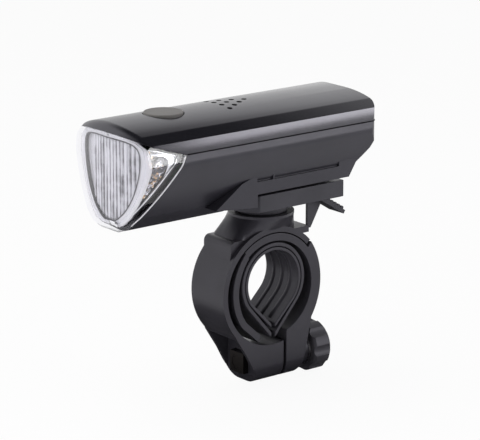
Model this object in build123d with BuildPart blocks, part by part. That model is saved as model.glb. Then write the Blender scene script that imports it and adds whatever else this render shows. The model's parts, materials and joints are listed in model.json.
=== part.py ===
from build123d import *
import math
import os

os.makedirs("parts", exist_ok=True)

# Driving dimensions, in mm. X runs along the handlebar, the beam points to -Y, Z is up.
# The origin is on the handlebar's axis, in the middle of the clamp.

# Shared clearances
overrun = 2.0  # how far a cutting shape runs past the face that it opens
long_overrun = 8.0
seam = 0.1  # gap between neighbouring shells of the lamp
running_gap = 0.3  # gap between pieces that slide past each other
pin_fit = 0.05  # radial clearance of a shaft in its bore

# Lamp housing: one shield-shaped section, drawn at half its width
keel_height = 26.7  # lowest line of the lamp above the handlebar's axis
lamp_height = 37.4
lamp_width = 42.4
lamp_length = 103.0
rear_reach = 38.0  # rear face behind the handlebar's axis
corner_setback = 3.5  # how far the lens corners lie behind its middle
rear_corner_radius = 5.8
rear_top_radius = 4.5
crown_width = 31.0
crown_rise = 2.9
shoulder_width = 38.6
shoulder_drop = 5.4
parting_drop = 9.8
waist_drop = 12.9
side_bulge = 0.9
crease_width = 22.8
crease_rise = 6.0
keel_width = 9.6
keel_rise = 0.8
crown_edge_radius = 3.0
waist_radius = 4.0
crease_radius = 1.2
toe_radius = 5.0
visor_radius = 2.8
profile_slack = 0.05
visor_edge_count = 3  # the crown's front edge and its two rounded ends
shell_wall = 1.6
lens_wall = 1.4

# Lines that split the housing, seen from the side
lens_reach_top = 18.8  # how far the lens wraps back at the parting line
lens_reach_bottom = 5.9
lens_tab_rise = 5.6  # its rear edge runs straight down from here to the keel
visor_lift = 5.0  # how much higher the lens reaches at its corners than at the parting line
visor_crown = 2.0  # and from there to the middle of its front
belly_rise = 9.3  # flat underside over the bracket, above the keel
keel_end = -19.0
belly_rear = 28.5
tail_rise = 17.7
tail_setback = 2.6
tail_top_rise = 25.2
notch_width = 9.0
notch_height = 1.1
notch_depth = 1.2

# Button and dimples on the cover
button_setback = 24.5  # button's axis behind the lamp's front
button_radius = 6.8
button_rise = 0.5
button_flange = 1.4
button_flange_thickness = 1.2
button_travel = 0.8
button_edge = 0.5
dimple_pitch = 4.35
dimple_radius = 0.85
dimple_depth = 1.3  # below the crown's highest line
dimple_rows = 4
dimple_setback = 23.1  # first row behind the button's axis

# Electronics
board_thickness = 1.6
main_board_width = 22.0
main_board_length = 38.0
main_board_setback = 15.0
main_board_rise = 1.5  # board above the parting line
boss_radius = 2.6
board_screw_radius = 1.1
board_screw_head = 2.1
board_screw_head_height = 1.2
board_screw_depth = 3.4
board_screw_inset = 4.0
switch_width = 6.0
switch_height = 1.6
switch_plunger_radius = 1.7
reflector_setback = 6.4
reflector_depth = 9.6
reflector_gap = 0.5
led_radius = 2.5
led_reach = 6.4
upper_cup_radius = 5.7
upper_cup_pitch = 11.7
upper_cup_drop = 4.8  # upper cups' axes below the parting line
lower_cup_radius = 4.6
lower_cup_pitch = 10.2
cup_row_drop = 9.7

# Two AA cells with their contacts
cell_radius = 7.1
cell_length = 49.0
cell_nub_radius = 2.75
cell_nub_length = 1.3
cell_pitch = 15.0
cell_drop = 8.6  # cells' axes below the parting line
cell_setback = 10.7  # cells' rear ends in front of the lamp's rear face
contact_thickness = 0.4
contact_width = 9.0
contact_height = 6.0
spring_radius = 3.0
spring_wire = 0.35
spring_turns = 3
spring_length = 3.4
cell_rib_thickness = 1.4
cell_rib_inset = 6.1

# Seals
seal_width = 1.0
seal_height = 1.2

# Foot of the lamp with its rail
foot_width = 33.4
foot_top_rise = 5.9  # heights of the foot, from the flat underside
foot_front = -31.3
foot_nose_drop = 4.1
foot_step = -13.3
foot_step_drop = 5.8
foot_bottom_drop = 1.2
foot_rear = 32.0
foot_heel_setback = 4.6
foot_slope_shoulder = -13.5
foot_bend = -20.2
foot_bend_rise = 3.5
foot_groove_height = 1.2
foot_groove_depth = 0.8
foot_groove_drop = 1.5
foot_groove_split = -6.0
foot_groove_web = 0.6
rail_neck_width = 9.0
rail_flange_width = 17.0
rail_flange_height = 2.1
rail_front = -8.0
rail_rear = 29.6
shoe_screw_radius = 1.4
shoe_screw_head = 2.6
shoe_screw_head_height = 1.5
shoe_screw_depth = 4.0
shoe_screw_front = -6.0
shoe_screw_pitch = 16.0

# Bracket plate that turns on the neck
swivel_place = 1.5  # swivel axis behind the handlebar's axis
plate_width = 25.6
plate_drop = 2.0  # plate's top below the foot
plate_height = 6.0
plate_floor = 1.4
plate_lip = 1.7
plate_front = -11.4
plate_rear = 28.4
plate_chamfer = 2.2
plate_nose = 3.2
hub_radius = 9.2
fin_front = 22.2
fin_length = 6.7
fin_drop = 13.1
fin_tip = 1.6
fin_thickness = 1.0

# Release tongue
tongue_width = 8.0
tongue_root = 15.4
tongue_thickness = 1.4
tongue_bend = 21.0
tab_tip_place = 36.2
tab_drop = 9.4
tab_ribs = 5
tab_rib_radius = 0.7
tab_rib_start_share = 0.5
catch_height = 0.7
catch_length = 1.6

# Clamp: a fixed jaw with its neck, and a moving jaw inside it
ring_drop = 2.6  # centre of the clamp ring below the handlebar's axis
ring_radius = 22.2
ring_wall = 2.0
jaw_width = 18.0
band_gap = 0.4
band_wall = 2.7
neck_radius = 11.6
hub_height = 2.9  # neck's top below the plate
saddle_height = 16.6
saddle_corner_radius = 2.5
saddle_setback = 1.5  # how far the ring's rims stand out past the saddle
saddle_edge_radius = 2.2
neck_root = 0.6  # how far the neck's foot is let into the saddle
neck_rim = 0.9
saddle_front = -17.8
saddle_rear = 11.8
ledge_rear = 15.8
ledge_height = 15.3
ledge_thickness = 2.3
ledge_width = 10.0
screw_drop = 29.7  # clamp screw's axis below the handlebar's axis
lug_drop = 36.7
lug_front = -6.5
split_place = 4.6
split_gap = 1.3
lug_rear = 14.4
lug_rear_middle = 17.4
lug_rear_middle_drop = 15.9
lug_rear_foot = 11.9
lug_front_top = -20.4
lug_front_middle = -16.3
lug_front_lower = -11.4
lug_front_drops = (7.1, 18.1, 25.7, 33.1)
lug_front_foot = -7.4
lug_corner_radius = 6.5
arch_end_angle = 42.5
leg_angles = (130.0, 180.0, 220.0, 251.0)
leg_outer_radii = (19.2, 17.8, 18.2, 19.6)
leg_inner_radii = (16.7, 15.2, 15.7, 17.0)
arch_gap_angle = 2.5

# Clamp screw, nut and knob
screw_radius = 2.5
nut_width = 7.4
nut_thickness = 4.0
nut_place = -7.2
pocket_fit = 0.15
pocket_width = 15.2
pocket_top = 18.6
pocket_roof = 1.0  # band left over the pocket
pocket_bottom = 34.6
knob_radius = 8.9
knob_length = 7.4
knob_front = 19.6
knob_flutes = 8
knob_flute_radius = 3.0
knob_flute_depth = 0.85
knob_edge = 0.8
collar_radius = 6.2
washer_thickness = 0.8
screw_hole_slack = 0.9

# Soft liners
bar_radius = 11.2
inner_shim_wall = 1.1
inner_shim_drop = 17.6
outer_shim_wall = 1.3
outer_shim_radius = 13.9
outer_shim_drop = 21.3
shim_split = 1.6

# Swivel screw
swivel_screw_radius = 2.5
swivel_head_radius = 4.6
swivel_head_height = 1.5
swivel_screw_depth = 5.4
swivel_washer_radius = 5.2
swivel_washer_thickness = 0.6

# Places worked out from the sizes above
lamp_top = keel_height + lamp_height
belly_height = keel_height + belly_rise
tail_height = keel_height + tail_rise
tail_top = keel_height + tail_top_rise
foot_top = belly_height + foot_top_rise
foot_nose_height = belly_height - foot_nose_drop
foot_step_height = belly_height - foot_step_drop
foot_bottom = belly_height - foot_bottom_drop
foot_bend_height = belly_height + foot_bend_rise
plate_top = foot_bottom - plate_drop
plate_bottom = plate_top - plate_height
neck_top = plate_bottom - hub_height
lamp_front = rear_reach - lamp_length
parting_height = lamp_top - parting_drop
cell_height = parting_height - cell_drop
cell_front = rear_reach - cell_setback - cell_nub_length - cell_length
lens_rear_top = lamp_front + lens_reach_top
lens_rear_bottom = lamp_front + lens_reach_bottom
button_place = lamp_front + button_setback
dimple_front = button_place + dimple_setback
main_board_front = lamp_front + main_board_setback
main_board_height = parting_height + main_board_rise
reflector_front = lamp_front + reflector_setback
upper_cup_height = parting_height - upper_cup_drop
lower_cup_height = upper_cup_height - cup_row_drop
ring_inner_radius = ring_radius - ring_wall
band_radius = ring_inner_radius - band_gap
ring_centre = (0, -ring_drop)
half_lamp_cut = lamp_width / 2 + overrun


def housing_outline(inset):
    """Shield-shaped section of the housing, as a face that stands at its rear end."""
    half_crown = crown_width / 2
    half_shoulder = shoulder_width / 2
    half_lamp = lamp_width / 2
    half_crease = crease_width / 2
    half_keel = keel_width / 2
    crown_edge = (half_crown, lamp_top - crown_rise)
    shoulder = (half_shoulder, lamp_top - shoulder_drop)
    waist = (half_lamp, lamp_top - waist_drop)
    crease = (half_crease, keel_height + crease_rise)
    keel = (half_keel, keel_height + keel_rise)
    side_middle = ((waist[0] + crease[0]) / 2 + side_bulge, (waist[1] + crease[1]) / 2)
    with BuildSketch(Plane.XZ.offset(-rear_reach)) as outline:
        with BuildLine():
            ThreePointArc((-half_crown, crown_edge[1]), (0, lamp_top), crown_edge)
            Polyline(crown_edge, shoulder, waist)
            ThreePointArc(waist, side_middle, crease)
            Line(crease, keel)
            ThreePointArc(keel, (0, keel_height), (-half_keel, keel[1]))
            Line((-half_keel, keel[1]), (-half_crease, crease[1]))
            ThreePointArc(
                (-half_crease, crease[1]), (-side_middle[0], side_middle[1]), (-half_lamp, waist[1])
            )
            Polyline(
                (-half_lamp, waist[1]), (-half_shoulder, shoulder[1]), (-half_crown, crown_edge[1])
            )
        make_face()
        fillet(outline.vertices().group_by(Axis.Y)[-1], radius=crown_edge_radius)
        fillet(outline.vertices().group_by(Axis.Y)[2], radius=waist_radius)
        fillet(outline.vertices().group_by(Axis.Y)[1], radius=crease_radius)
        if inset > 0:
            offset(amount=-inset, kind=Kind.INTERSECTION)
    return outline.sketch


def housing_form(inset):
    """Whole lamp housing as one solid, with every wall moved inwards by the inset."""
    section = housing_outline(inset)
    half_width = lamp_width / 2 + overrun
    corner = lamp_front + corner_setback
    with BuildPart() as form:
        extrude(section, amount=lamp_length + overrun, dir=(0, -1, 0))
        with BuildSketch(Plane.XY.offset(keel_height - overrun)) as plan:
            with BuildLine():
                ThreePointArc(
                    (-lamp_width / 2, corner), (0, lamp_front), (lamp_width / 2, corner)
                )
                Polyline(
                    (lamp_width / 2, corner),
                    (lamp_width / 2, rear_reach),
                    (-lamp_width / 2, rear_reach),
                    (-lamp_width / 2, corner),
                )
            make_face()
            fillet(plan.vertices().group_by(Axis.Y)[-1], radius=rear_corner_radius)
            if inset > 0:
                offset(amount=-inset)
        extrude(amount=lamp_height + 2 * overrun, mode=Mode.INTERSECT)
        with BuildSketch(Plane.YZ) as profile:
            with BuildLine():
                Polyline(
                    (lamp_front - profile_slack, keel_height - profile_slack),
                    (keel_end, keel_height - profile_slack),
                    (keel_end, belly_height),
                    (belly_rear, belly_height),
                    (rear_reach - tail_setback, tail_height),
                    (rear_reach, tail_top),
                    (rear_reach, lamp_top),
                    (lamp_front - profile_slack, lamp_top),
                    close=True,
                )
            make_face()
            rear_top = profile.vertices().group_by(Axis.X)[-1].sort_by(Axis.Y)[-1]
            fillet(rear_top, radius=rear_top_radius)
            toe = profile.vertices().group_by(Axis.X)[0].sort_by(Axis.Y)[0]
            fillet(toe, radius=toe_radius)
            if inset > 0:
                offset(amount=-inset, kind=Kind.INTERSECTION)
        extrude(amount=half_width, both=True, mode=Mode.INTERSECT)
        crown_low = lamp_top - crown_rise - crown_edge_radius
        front_edges = form.edges().filter_by_position(
            Axis.Y, lamp_front - overrun, corner + inset
        ).filter_by_position(Axis.Z, crown_low, lamp_top)
        visor_edges = front_edges.sort_by(Axis.Z)[-visor_edge_count:]
        if inset < visor_radius:
            fillet(visor_edges, radius=visor_radius - inset)
    return form.part


def cover_region(drop):
    """Everything above the parting line, seen from the side, lowered by the given amount."""
    corner = lamp_front + corner_setback
    visor_height = parting_height + visor_lift - drop
    far_front = lamp_front - overrun
    far_rise = visor_crown * (corner - far_front) / corner_setback
    with BuildPart() as region:
        with BuildSketch(Plane.YZ.offset(-half_lamp_cut)):
            with BuildLine():
                Polyline(
                    (rear_reach + overrun, parting_height - drop),
                    (lens_rear_top, parting_height - drop),
                    (corner, visor_height),
                    (far_front, visor_height + far_rise),
                    (far_front, lamp_top + overrun),
                    (rear_reach + overrun, lamp_top + overrun),
                    close=True,
                )
            make_face()
        extrude(amount=2 * half_lamp_cut)
    return region.part


def lens_region(grow):
    """Everything in front of the lens's slanted rear edge, moved backwards by the given amount."""
    tab_height = keel_height + lens_tab_rise
    lean = (lens_rear_top - lens_rear_bottom) / (parting_height - tab_height)
    with BuildPart() as region:
        with BuildSketch(Plane.YZ.offset(-half_lamp_cut)):
            with BuildLine():
                Polyline(
                    (lens_rear_top + lean * long_overrun + grow, parting_height + long_overrun),
                    (lens_rear_bottom + grow, tab_height),
                    (lens_rear_bottom + grow, keel_height - overrun),
                    (lamp_front - overrun, keel_height - overrun),
                    (lamp_front - overrun, parting_height + long_overrun),
                    close=True,
                )
            make_face()
        extrude(amount=2 * half_lamp_cut)
    return region.part


outer_form = housing_form(0)
inner_form = housing_form(shell_wall)
lens_inner_form = housing_form(lens_wall)
reflector_form = housing_form(lens_wall + reflector_gap)
contents_form = housing_form(shell_wall + running_gap)
above_parting = cover_region(0)
above_lens = cover_region(seam)
above_reflector = cover_region(shell_wall)
ahead_of_shell = lens_region(seam)
ahead_of_lens = lens_region(0)

# Top cover, with its visor, dimples, button hole and two bosses for the board
cover_hole_radius = button_radius + running_gap
flange_radius = button_radius + button_flange
boss_places = [
    (0, button_place + flange_radius + boss_radius + running_gap),
    (0, main_board_front + main_board_length - board_screw_inset),
]
board_top = main_board_height + board_thickness
row_spacing = dimple_pitch * math.sin(math.radians(60))
dimple_places = [
    ((place - (dimple_rows - 1 - row) / 2) * dimple_pitch, dimple_front + row * row_spacing)
    for row in range(dimple_rows)
    for place in range(dimple_rows - row)
]
crown_radius = crown_width**2 / (8 * crown_rise) + crown_rise / 2
with BuildPart() as top_cover:
    add(outer_form)
    add(inner_form, mode=Mode.SUBTRACT)
    add(above_parting, mode=Mode.INTERSECT)
    with BuildSketch(Plane.XY.offset(board_top)):
        with Locations(*boss_places):
            Circle(boss_radius)
    extrude(amount=lamp_top - board_top - shell_wall / 2)
    add(outer_form, mode=Mode.INTERSECT)
    with BuildSketch(Plane.XY.offset(board_top)):
        with Locations(*boss_places):
            Circle(board_screw_radius)
    extrude(amount=board_screw_depth, mode=Mode.SUBTRACT)
    with BuildSketch(Plane.XY.offset(lamp_top + overrun)):
        with Locations((0, button_place)):
            Circle(cover_hole_radius)
    extrude(amount=-(shell_wall + 2 * overrun), mode=Mode.SUBTRACT)
    with BuildSketch(Plane.XY.offset(lamp_top + overrun)):
        with Locations(*dimple_places):
            Circle(dimple_radius)
    extrude(amount=-(overrun + dimple_depth), mode=Mode.SUBTRACT)
    with BuildSketch(Plane.XZ.offset(-(rear_reach + overrun))):
        with Locations((0, parting_height)):
            Rectangle(notch_width, 2 * notch_height)
    extrude(amount=overrun + notch_depth, mode=Mode.SUBTRACT)
top_cover.part.label = "top_cover"
export_step(top_cover.part, "parts/top_cover.step")

# Soft button: a disc in the cover's hole with a flange inside and a stem over the switch
crown_sag = flange_radius**2 / (2 * crown_radius)
flange_top = lamp_top - shell_wall - running_gap - crown_sag
switch_top = board_top + switch_height
stem_bottom = switch_top + button_travel + seam
with BuildPart() as button:
    with BuildSketch(Plane.XY.offset(flange_top)):
        with Locations((0, button_place)):
            Circle(button_radius)
    extrude(amount=lamp_top + button_rise - flange_top)
    fillet(button.edges().group_by(Axis.Z)[-1], radius=button_edge)
    with BuildSketch(Plane.XY.offset(flange_top)):
        with Locations((0, button_place)):
            Circle(flange_radius)
    extrude(amount=-button_flange_thickness)
    with BuildSketch(Plane.XY.offset(flange_top)):
        with Locations((0, button_place)):
            Circle(switch_plunger_radius)
    extrude(amount=stem_bottom - flange_top)
button.part.label = "button"
export_step(button.part, "parts/button.step")

# Circuit board under the cover, with two screw holes
board_middle = main_board_front + main_board_length / 2
with BuildPart() as main_board:
    with BuildSketch(Plane.XY.offset(main_board_height)):
        with Locations((0, board_middle)):
            RectangleRounded(main_board_width, main_board_length, radius=board_thickness)
        with Locations(*boss_places):
            Circle(board_screw_radius + pin_fit, mode=Mode.SUBTRACT)
    extrude(amount=board_thickness)
main_board.part.label = "main_board"
export_step(main_board.part, "parts/main_board.step")

# Push switch on the board
with BuildPart() as tact_switch:
    with BuildSketch(Plane.XY.offset(board_top)):
        with Locations((0, button_place)):
            Rectangle(switch_width, switch_width)
    extrude(amount=switch_height / 2)
    with BuildSketch(Plane.XY.offset(board_top + switch_height / 2)):
        with Locations((0, button_place)):
            Circle(switch_plunger_radius)
    extrude(amount=switch_height / 2)
tact_switch.part.label = "tact_switch"
export_step(tact_switch.part, "parts/tact_switch.step")

# Two screws that hold the board to the cover's bosses
with BuildPart() as board_screws:
    with BuildSketch(Plane.XY.offset(main_board_height)):
        with Locations(*boss_places):
            Circle(board_screw_head)
    extrude(amount=-board_screw_head_height)
    with BuildSketch(Plane.XY.offset(main_board_height)):
        with Locations(*boss_places):
            Circle(board_screw_radius - pin_fit)
    extrude(amount=board_thickness + board_screw_depth - seam)
board_screws.part.label = "board_screws"
export_step(board_screws.part, "parts/board_screws.step")

# Clear lens in front, open behind, wrapped round both sides of the housing
with BuildPart() as front_lens:
    add(outer_form)
    add(lens_inner_form, mode=Mode.SUBTRACT)
    add(ahead_of_lens, mode=Mode.INTERSECT)
    add(above_lens, mode=Mode.SUBTRACT)
front_lens.part.label = "front_lens"
export_step(front_lens.part, "parts/front_lens.step")

# Lower shell: everything behind the lens and under the cover, with ribs that carry the cells
cell_centres = [(-cell_pitch / 2, cell_height), (cell_pitch / 2, cell_height)]
cell_rear = cell_front + cell_length + cell_nub_length
cell_ribs = [cell_front + cell_rib_inset, cell_front + cell_length - cell_rib_inset]
contact_front = cell_front - spring_length
contact_rear = cell_rear + spring_length
contact_walls = [
    contact_front - contact_thickness - seam,
    contact_rear + contact_thickness + seam + cell_rib_thickness,
]
shoe_screw_places = [(0, shoe_screw_front), (0, shoe_screw_front + shoe_screw_pitch)]
with BuildPart() as lower_shell:
    add(outer_form)
    add(inner_form, mode=Mode.SUBTRACT)
    add(above_lens, mode=Mode.SUBTRACT)
    add(ahead_of_shell, mode=Mode.SUBTRACT)
    for rib_place in cell_ribs:
        with BuildSketch(Plane.XZ.offset(-rib_place)):
            with Locations((0, (belly_height + cell_height) / 2)):
                Rectangle(lamp_width, cell_height - belly_height)
            with Locations(*cell_centres):
                Circle(cell_radius + seam, mode=Mode.SUBTRACT)
        extrude(amount=cell_rib_thickness)
    for wall_place in contact_walls:
        with BuildSketch(Plane.XZ.offset(-wall_place)):
            with Locations((0, (belly_height + cell_height) / 2)):
                Rectangle(lamp_width, cell_height - belly_height)
        extrude(amount=cell_rib_thickness)
    add(outer_form, mode=Mode.INTERSECT)
    with BuildSketch(Plane.XY.offset(belly_height)):
        with Locations(*shoe_screw_places):
            Circle(shoe_screw_radius + pin_fit)
    extrude(amount=shell_wall, mode=Mode.SUBTRACT)
lower_shell.part.label = "lower_shell"
export_step(lower_shell.part, "parts/lower_shell.step")

# Gasket inside the joint between cover and shell, open where the lens begins
seal_form = housing_form(shell_wall + running_gap + seal_width)
seal_top = parting_height - seam
seal_middle = (rear_reach + lens_rear_top) / 2
with BuildPart() as cover_seal:
    add(contents_form)
    add(seal_form, mode=Mode.SUBTRACT)
    with BuildSketch(Plane.XY.offset(seal_top)):
        with Locations((0, seal_middle)):
            Rectangle(lamp_width, rear_reach - lens_rear_top)
    extrude(amount=-seal_height, mode=Mode.INTERSECT)
    add(ahead_of_shell, mode=Mode.SUBTRACT)
cover_seal.part.label = "cover_seal"
export_step(cover_seal.part, "parts/cover_seal.step")

# Bright reflector: a block that fills the lens, with five cups for the light emitters
upper_cups = [
    (-upper_cup_pitch, upper_cup_height),
    (0, upper_cup_height),
    (upper_cup_pitch, upper_cup_height),
]
lower_cups = [(-lower_cup_pitch / 2, lower_cup_height), (lower_cup_pitch / 2, lower_cup_height)]
reflector_back = reflector_front + reflector_depth
throat_radius = led_radius + running_gap
with BuildPart() as reflector:
    add(reflector_form)
    with BuildSketch(Plane.XZ.offset(-reflector_back)):
        with Locations((0, keel_height + lamp_height / 2)):
            Rectangle(lamp_width, lamp_height)
    extrude(amount=reflector_depth, mode=Mode.INTERSECT)
    add(above_reflector, mode=Mode.SUBTRACT)
    for cups, mouth_radius in ((upper_cups, upper_cup_radius), (lower_cups, lower_cup_radius)):
        for x, z in cups:
            cup_axis = Plane(origin=(x, reflector_front, z), x_dir=(1, 0, 0), z_dir=(0, 1, 0))
            with Locations(cup_axis.offset(reflector_depth / 2)):
                Cone(mouth_radius, throat_radius, reflector_depth, mode=Mode.SUBTRACT)
reflector.part.label = "reflector"
export_step(reflector.part, "parts/reflector.step")

# Board behind the reflector, and the light emitters on it
with BuildPart() as led_board:
    add(contents_form)
    with BuildSketch(Plane.XZ.offset(-(reflector_back + board_thickness))):
        with Locations((0, keel_height + lamp_height / 2)):
            Rectangle(lamp_width, lamp_height)
    extrude(amount=board_thickness, mode=Mode.INTERSECT)
    add(above_reflector, mode=Mode.SUBTRACT)
led_board.part.label = "led_board"
export_step(led_board.part, "parts/led_board.step")

led_places = upper_cups + lower_cups
with BuildPart() as leds:
    with BuildSketch(Plane.XZ.offset(-reflector_back)):
        with Locations(*led_places):
            Circle(led_radius)
    extrude(amount=led_reach - led_radius)
    led_tips = leds.faces().sort_by(Axis.Y)[: len(led_places)]
    fillet(led_tips.edges(), radius=led_radius - seam)
leds.part.label = "leds"
export_step(leds.part, "parts/leds.step")

# Two AA cells, one turned round, with contacts in front and behind
for name, side, forward in (("battery_left", -1, False), ("battery_right", 1, True)):
    body_rear = cell_rear if forward else cell_rear - cell_nub_length
    nub_rear = cell_front + cell_nub_length if forward else cell_rear
    with BuildPart() as battery:
        with BuildSketch(Plane.XZ.offset(-body_rear)):
            with Locations((side * cell_pitch / 2, cell_height)):
                Circle(cell_radius)
        extrude(amount=cell_length)
        with BuildSketch(Plane.XZ.offset(-nub_rear)):
            with Locations((side * cell_pitch / 2, cell_height)):
                Circle(cell_nub_radius)
        extrude(amount=cell_nub_length)
    battery.part.label = name
    export_step(battery.part, f"parts/{name}.step")

with BuildPart() as contact_plates:
    with BuildSketch(Plane.XZ.offset(-contact_front)):
        with Locations(*cell_centres):
            Rectangle(contact_width, contact_height)
    extrude(amount=contact_thickness)
    with BuildSketch(Plane.XZ.offset(-(contact_rear + contact_thickness))):
        with Locations((0, cell_height)):
            Rectangle(cell_pitch + contact_width, contact_height)
    extrude(amount=contact_thickness)
contact_plates.part.label = "contact_plates"
export_step(contact_plates.part, "parts/contact_plates.step")

spring_pitch = (spring_length - 2 * spring_wire - 2 * seam) / spring_turns
spring_starts = [contact_front + spring_wire + seam, cell_rear + spring_wire + seam]
with BuildPart() as contact_springs:
    for side in (-1, 1):
        for spring_start in spring_starts:
            with BuildLine() as spring_path:
                Helix(
                    spring_pitch,
                    spring_turns * spring_pitch,
                    spring_radius,
                    center=(side * cell_pitch / 2, spring_start, cell_height),
                    direction=(0, 1, 0),
                )
            with BuildSketch(Plane(origin=spring_path.line @ 0, z_dir=spring_path.line % 0)):
                Circle(spring_wire)
            sweep(path=spring_path.line)
contact_springs.part.label = "contact_springs"
export_step(contact_springs.part, "parts/contact_springs.step")

# Foot under the shell: side skirts, a wedge in front and the rail for the bracket
half_plate = plate_width / 2


def plate_block(grow):
    """Bracket plate's outline with its round nose, as a block grown sideways and upwards."""
    nose_corner = half_plate - plate_chamfer
    with BuildPart() as block:
        with BuildSketch(Plane.XY.offset(plate_bottom - grow)):
            with BuildLine():
                ThreePointArc(
                    (-nose_corner, plate_front), (0, plate_front - plate_nose), (nose_corner, plate_front)
                )
                Polyline(
                    (nose_corner, plate_front),
                    (half_plate, plate_front + plate_chamfer),
                    (half_plate, plate_rear),
                    (-half_plate, plate_rear),
                    (-half_plate, plate_front + plate_chamfer),
                    (-nose_corner, plate_front),
                )
            make_face()
            if grow > 0:
                offset(amount=grow)
        extrude(amount=plate_height + 2 * grow)
    return block.part


flange_bottom = plate_bottom + plate_floor + running_gap
flange_top_height = flange_bottom + rail_flange_height
groove_bottom = foot_top - foot_groove_drop - foot_groove_height
groove_rear = foot_rear - 2 * foot_heel_setback
half_foot = foot_width / 2
groove_ends = [foot_slope_shoulder, foot_groove_split - foot_groove_web, foot_groove_split, groove_rear]
with BuildPart() as rail_shoe:
    with BuildSketch(Plane.YZ):
        with BuildLine():
            Polyline(
                (foot_front, foot_nose_height),
                (foot_bend, foot_bend_height),
                (foot_slope_shoulder, foot_top),
                (foot_rear, foot_top),
                (foot_rear - foot_heel_setback, foot_bottom),
                (foot_step, foot_bottom),
                (foot_step, foot_step_height),
                close=True,
            )
        make_face()
    extrude(amount=half_foot, both=True)
    add(outer_form, mode=Mode.SUBTRACT)
    add(plate_block(running_gap), mode=Mode.SUBTRACT)
    for side in (-1, 1):
        for start, end in (groove_ends[:2], groove_ends[2:]):
            with BuildSketch(Plane.YZ.offset(side * (half_foot - foot_groove_depth))):
                with Locations(((start + end) / 2, foot_top)):
                    Rectangle(end - start, 2 * (foot_top - groove_bottom))
            extrude(amount=side * (foot_groove_depth + overrun), mode=Mode.SUBTRACT)
    with BuildSketch(Plane.XZ.offset(-rail_rear)):
        with Locations((0, (flange_top_height + foot_bottom) / 2)):
            Rectangle(rail_neck_width, foot_bottom - flange_top_height)
        with Locations((0, (flange_top_height + flange_bottom) / 2)):
            Rectangle(rail_flange_width, rail_flange_height)
    extrude(amount=rail_rear - rail_front)
    with BuildSketch(Plane.XZ.offset(-(rail_rear + overrun))):
        with Locations((0, flange_bottom)):
            Rectangle(tongue_width + 2 * running_gap, 2 * (catch_height + running_gap))
    extrude(amount=rail_rear - rail_front + 2 * overrun, mode=Mode.SUBTRACT)
    with BuildSketch(Plane.XY.offset(belly_height)):
        with Locations(*shoe_screw_places):
            Circle(shoe_screw_radius)
    extrude(amount=-(shoe_screw_depth + seam), mode=Mode.SUBTRACT)
rail_shoe.part.label = "rail_shoe"
export_step(rail_shoe.part, "parts/rail_shoe.step")

with BuildPart() as shoe_screws:
    with BuildSketch(Plane.XY.offset(belly_height + shell_wall)):
        with Locations(*shoe_screw_places):
            Circle(shoe_screw_head)
    extrude(amount=shoe_screw_head_height)
    with BuildSketch(Plane.XY.offset(belly_height - shoe_screw_depth)):
        with Locations(*shoe_screw_places):
            Circle(shoe_screw_radius - pin_fit)
    extrude(amount=shoe_screw_depth + shell_wall)
shoe_screws.part.label = "shoe_screws"
export_step(shoe_screws.part, "parts/shoe_screws.step")

# Bracket plate: a channel for the rail, on a round hub
channel_width = rail_flange_width + 2 * running_gap
lip_opening = rail_neck_width + 2 * running_gap
channel_top = plate_top - plate_lip
channel_floor = plate_bottom + plate_floor
hub_bottom = neck_top + seam
slot_length = plate_rear - tongue_root
with BuildPart() as slide_plate:
    add(plate_block(0))
    with BuildSketch(Plane.XZ.offset(-(plate_rear + overrun))):
        with Locations((0, (channel_floor + channel_top) / 2)):
            Rectangle(channel_width, channel_top - channel_floor)
        with Locations((0, plate_top)):
            Rectangle(lip_opening, 2 * plate_lip)
    extrude(amount=plate_rear - plate_front + plate_nose + 2 * overrun, mode=Mode.SUBTRACT)
    with BuildSketch(Plane.XY.offset(hub_bottom)):
        with Locations((0, swivel_place)):
            Circle(hub_radius)
    extrude(amount=plate_bottom - hub_bottom)
    with BuildSketch(Plane.XY.offset(hub_bottom)):
        with Locations((0, swivel_place)):
            Circle(swivel_screw_radius + pin_fit)
    extrude(amount=plate_top - hub_bottom, mode=Mode.SUBTRACT)
    seat_depth = swivel_head_height + swivel_washer_thickness + running_gap
    with BuildSketch(Plane.XY.offset(channel_floor - seat_depth)):
        with Locations((0, swivel_place)):
            Circle(swivel_washer_radius + pin_fit)
    extrude(amount=plate_top, mode=Mode.SUBTRACT)
    with BuildSketch(Plane.XY.offset(plate_bottom - overrun)):
        with Locations((0, tongue_root + (slot_length + overrun) / 2)):
            Rectangle(tongue_width + 2 * running_gap, slot_length + overrun)
    extrude(amount=plate_floor + 2 * overrun, mode=Mode.SUBTRACT)
slide_plate.part.label = "slide_plate"
export_step(slide_plate.part, "parts/slide_plate.step")

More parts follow.
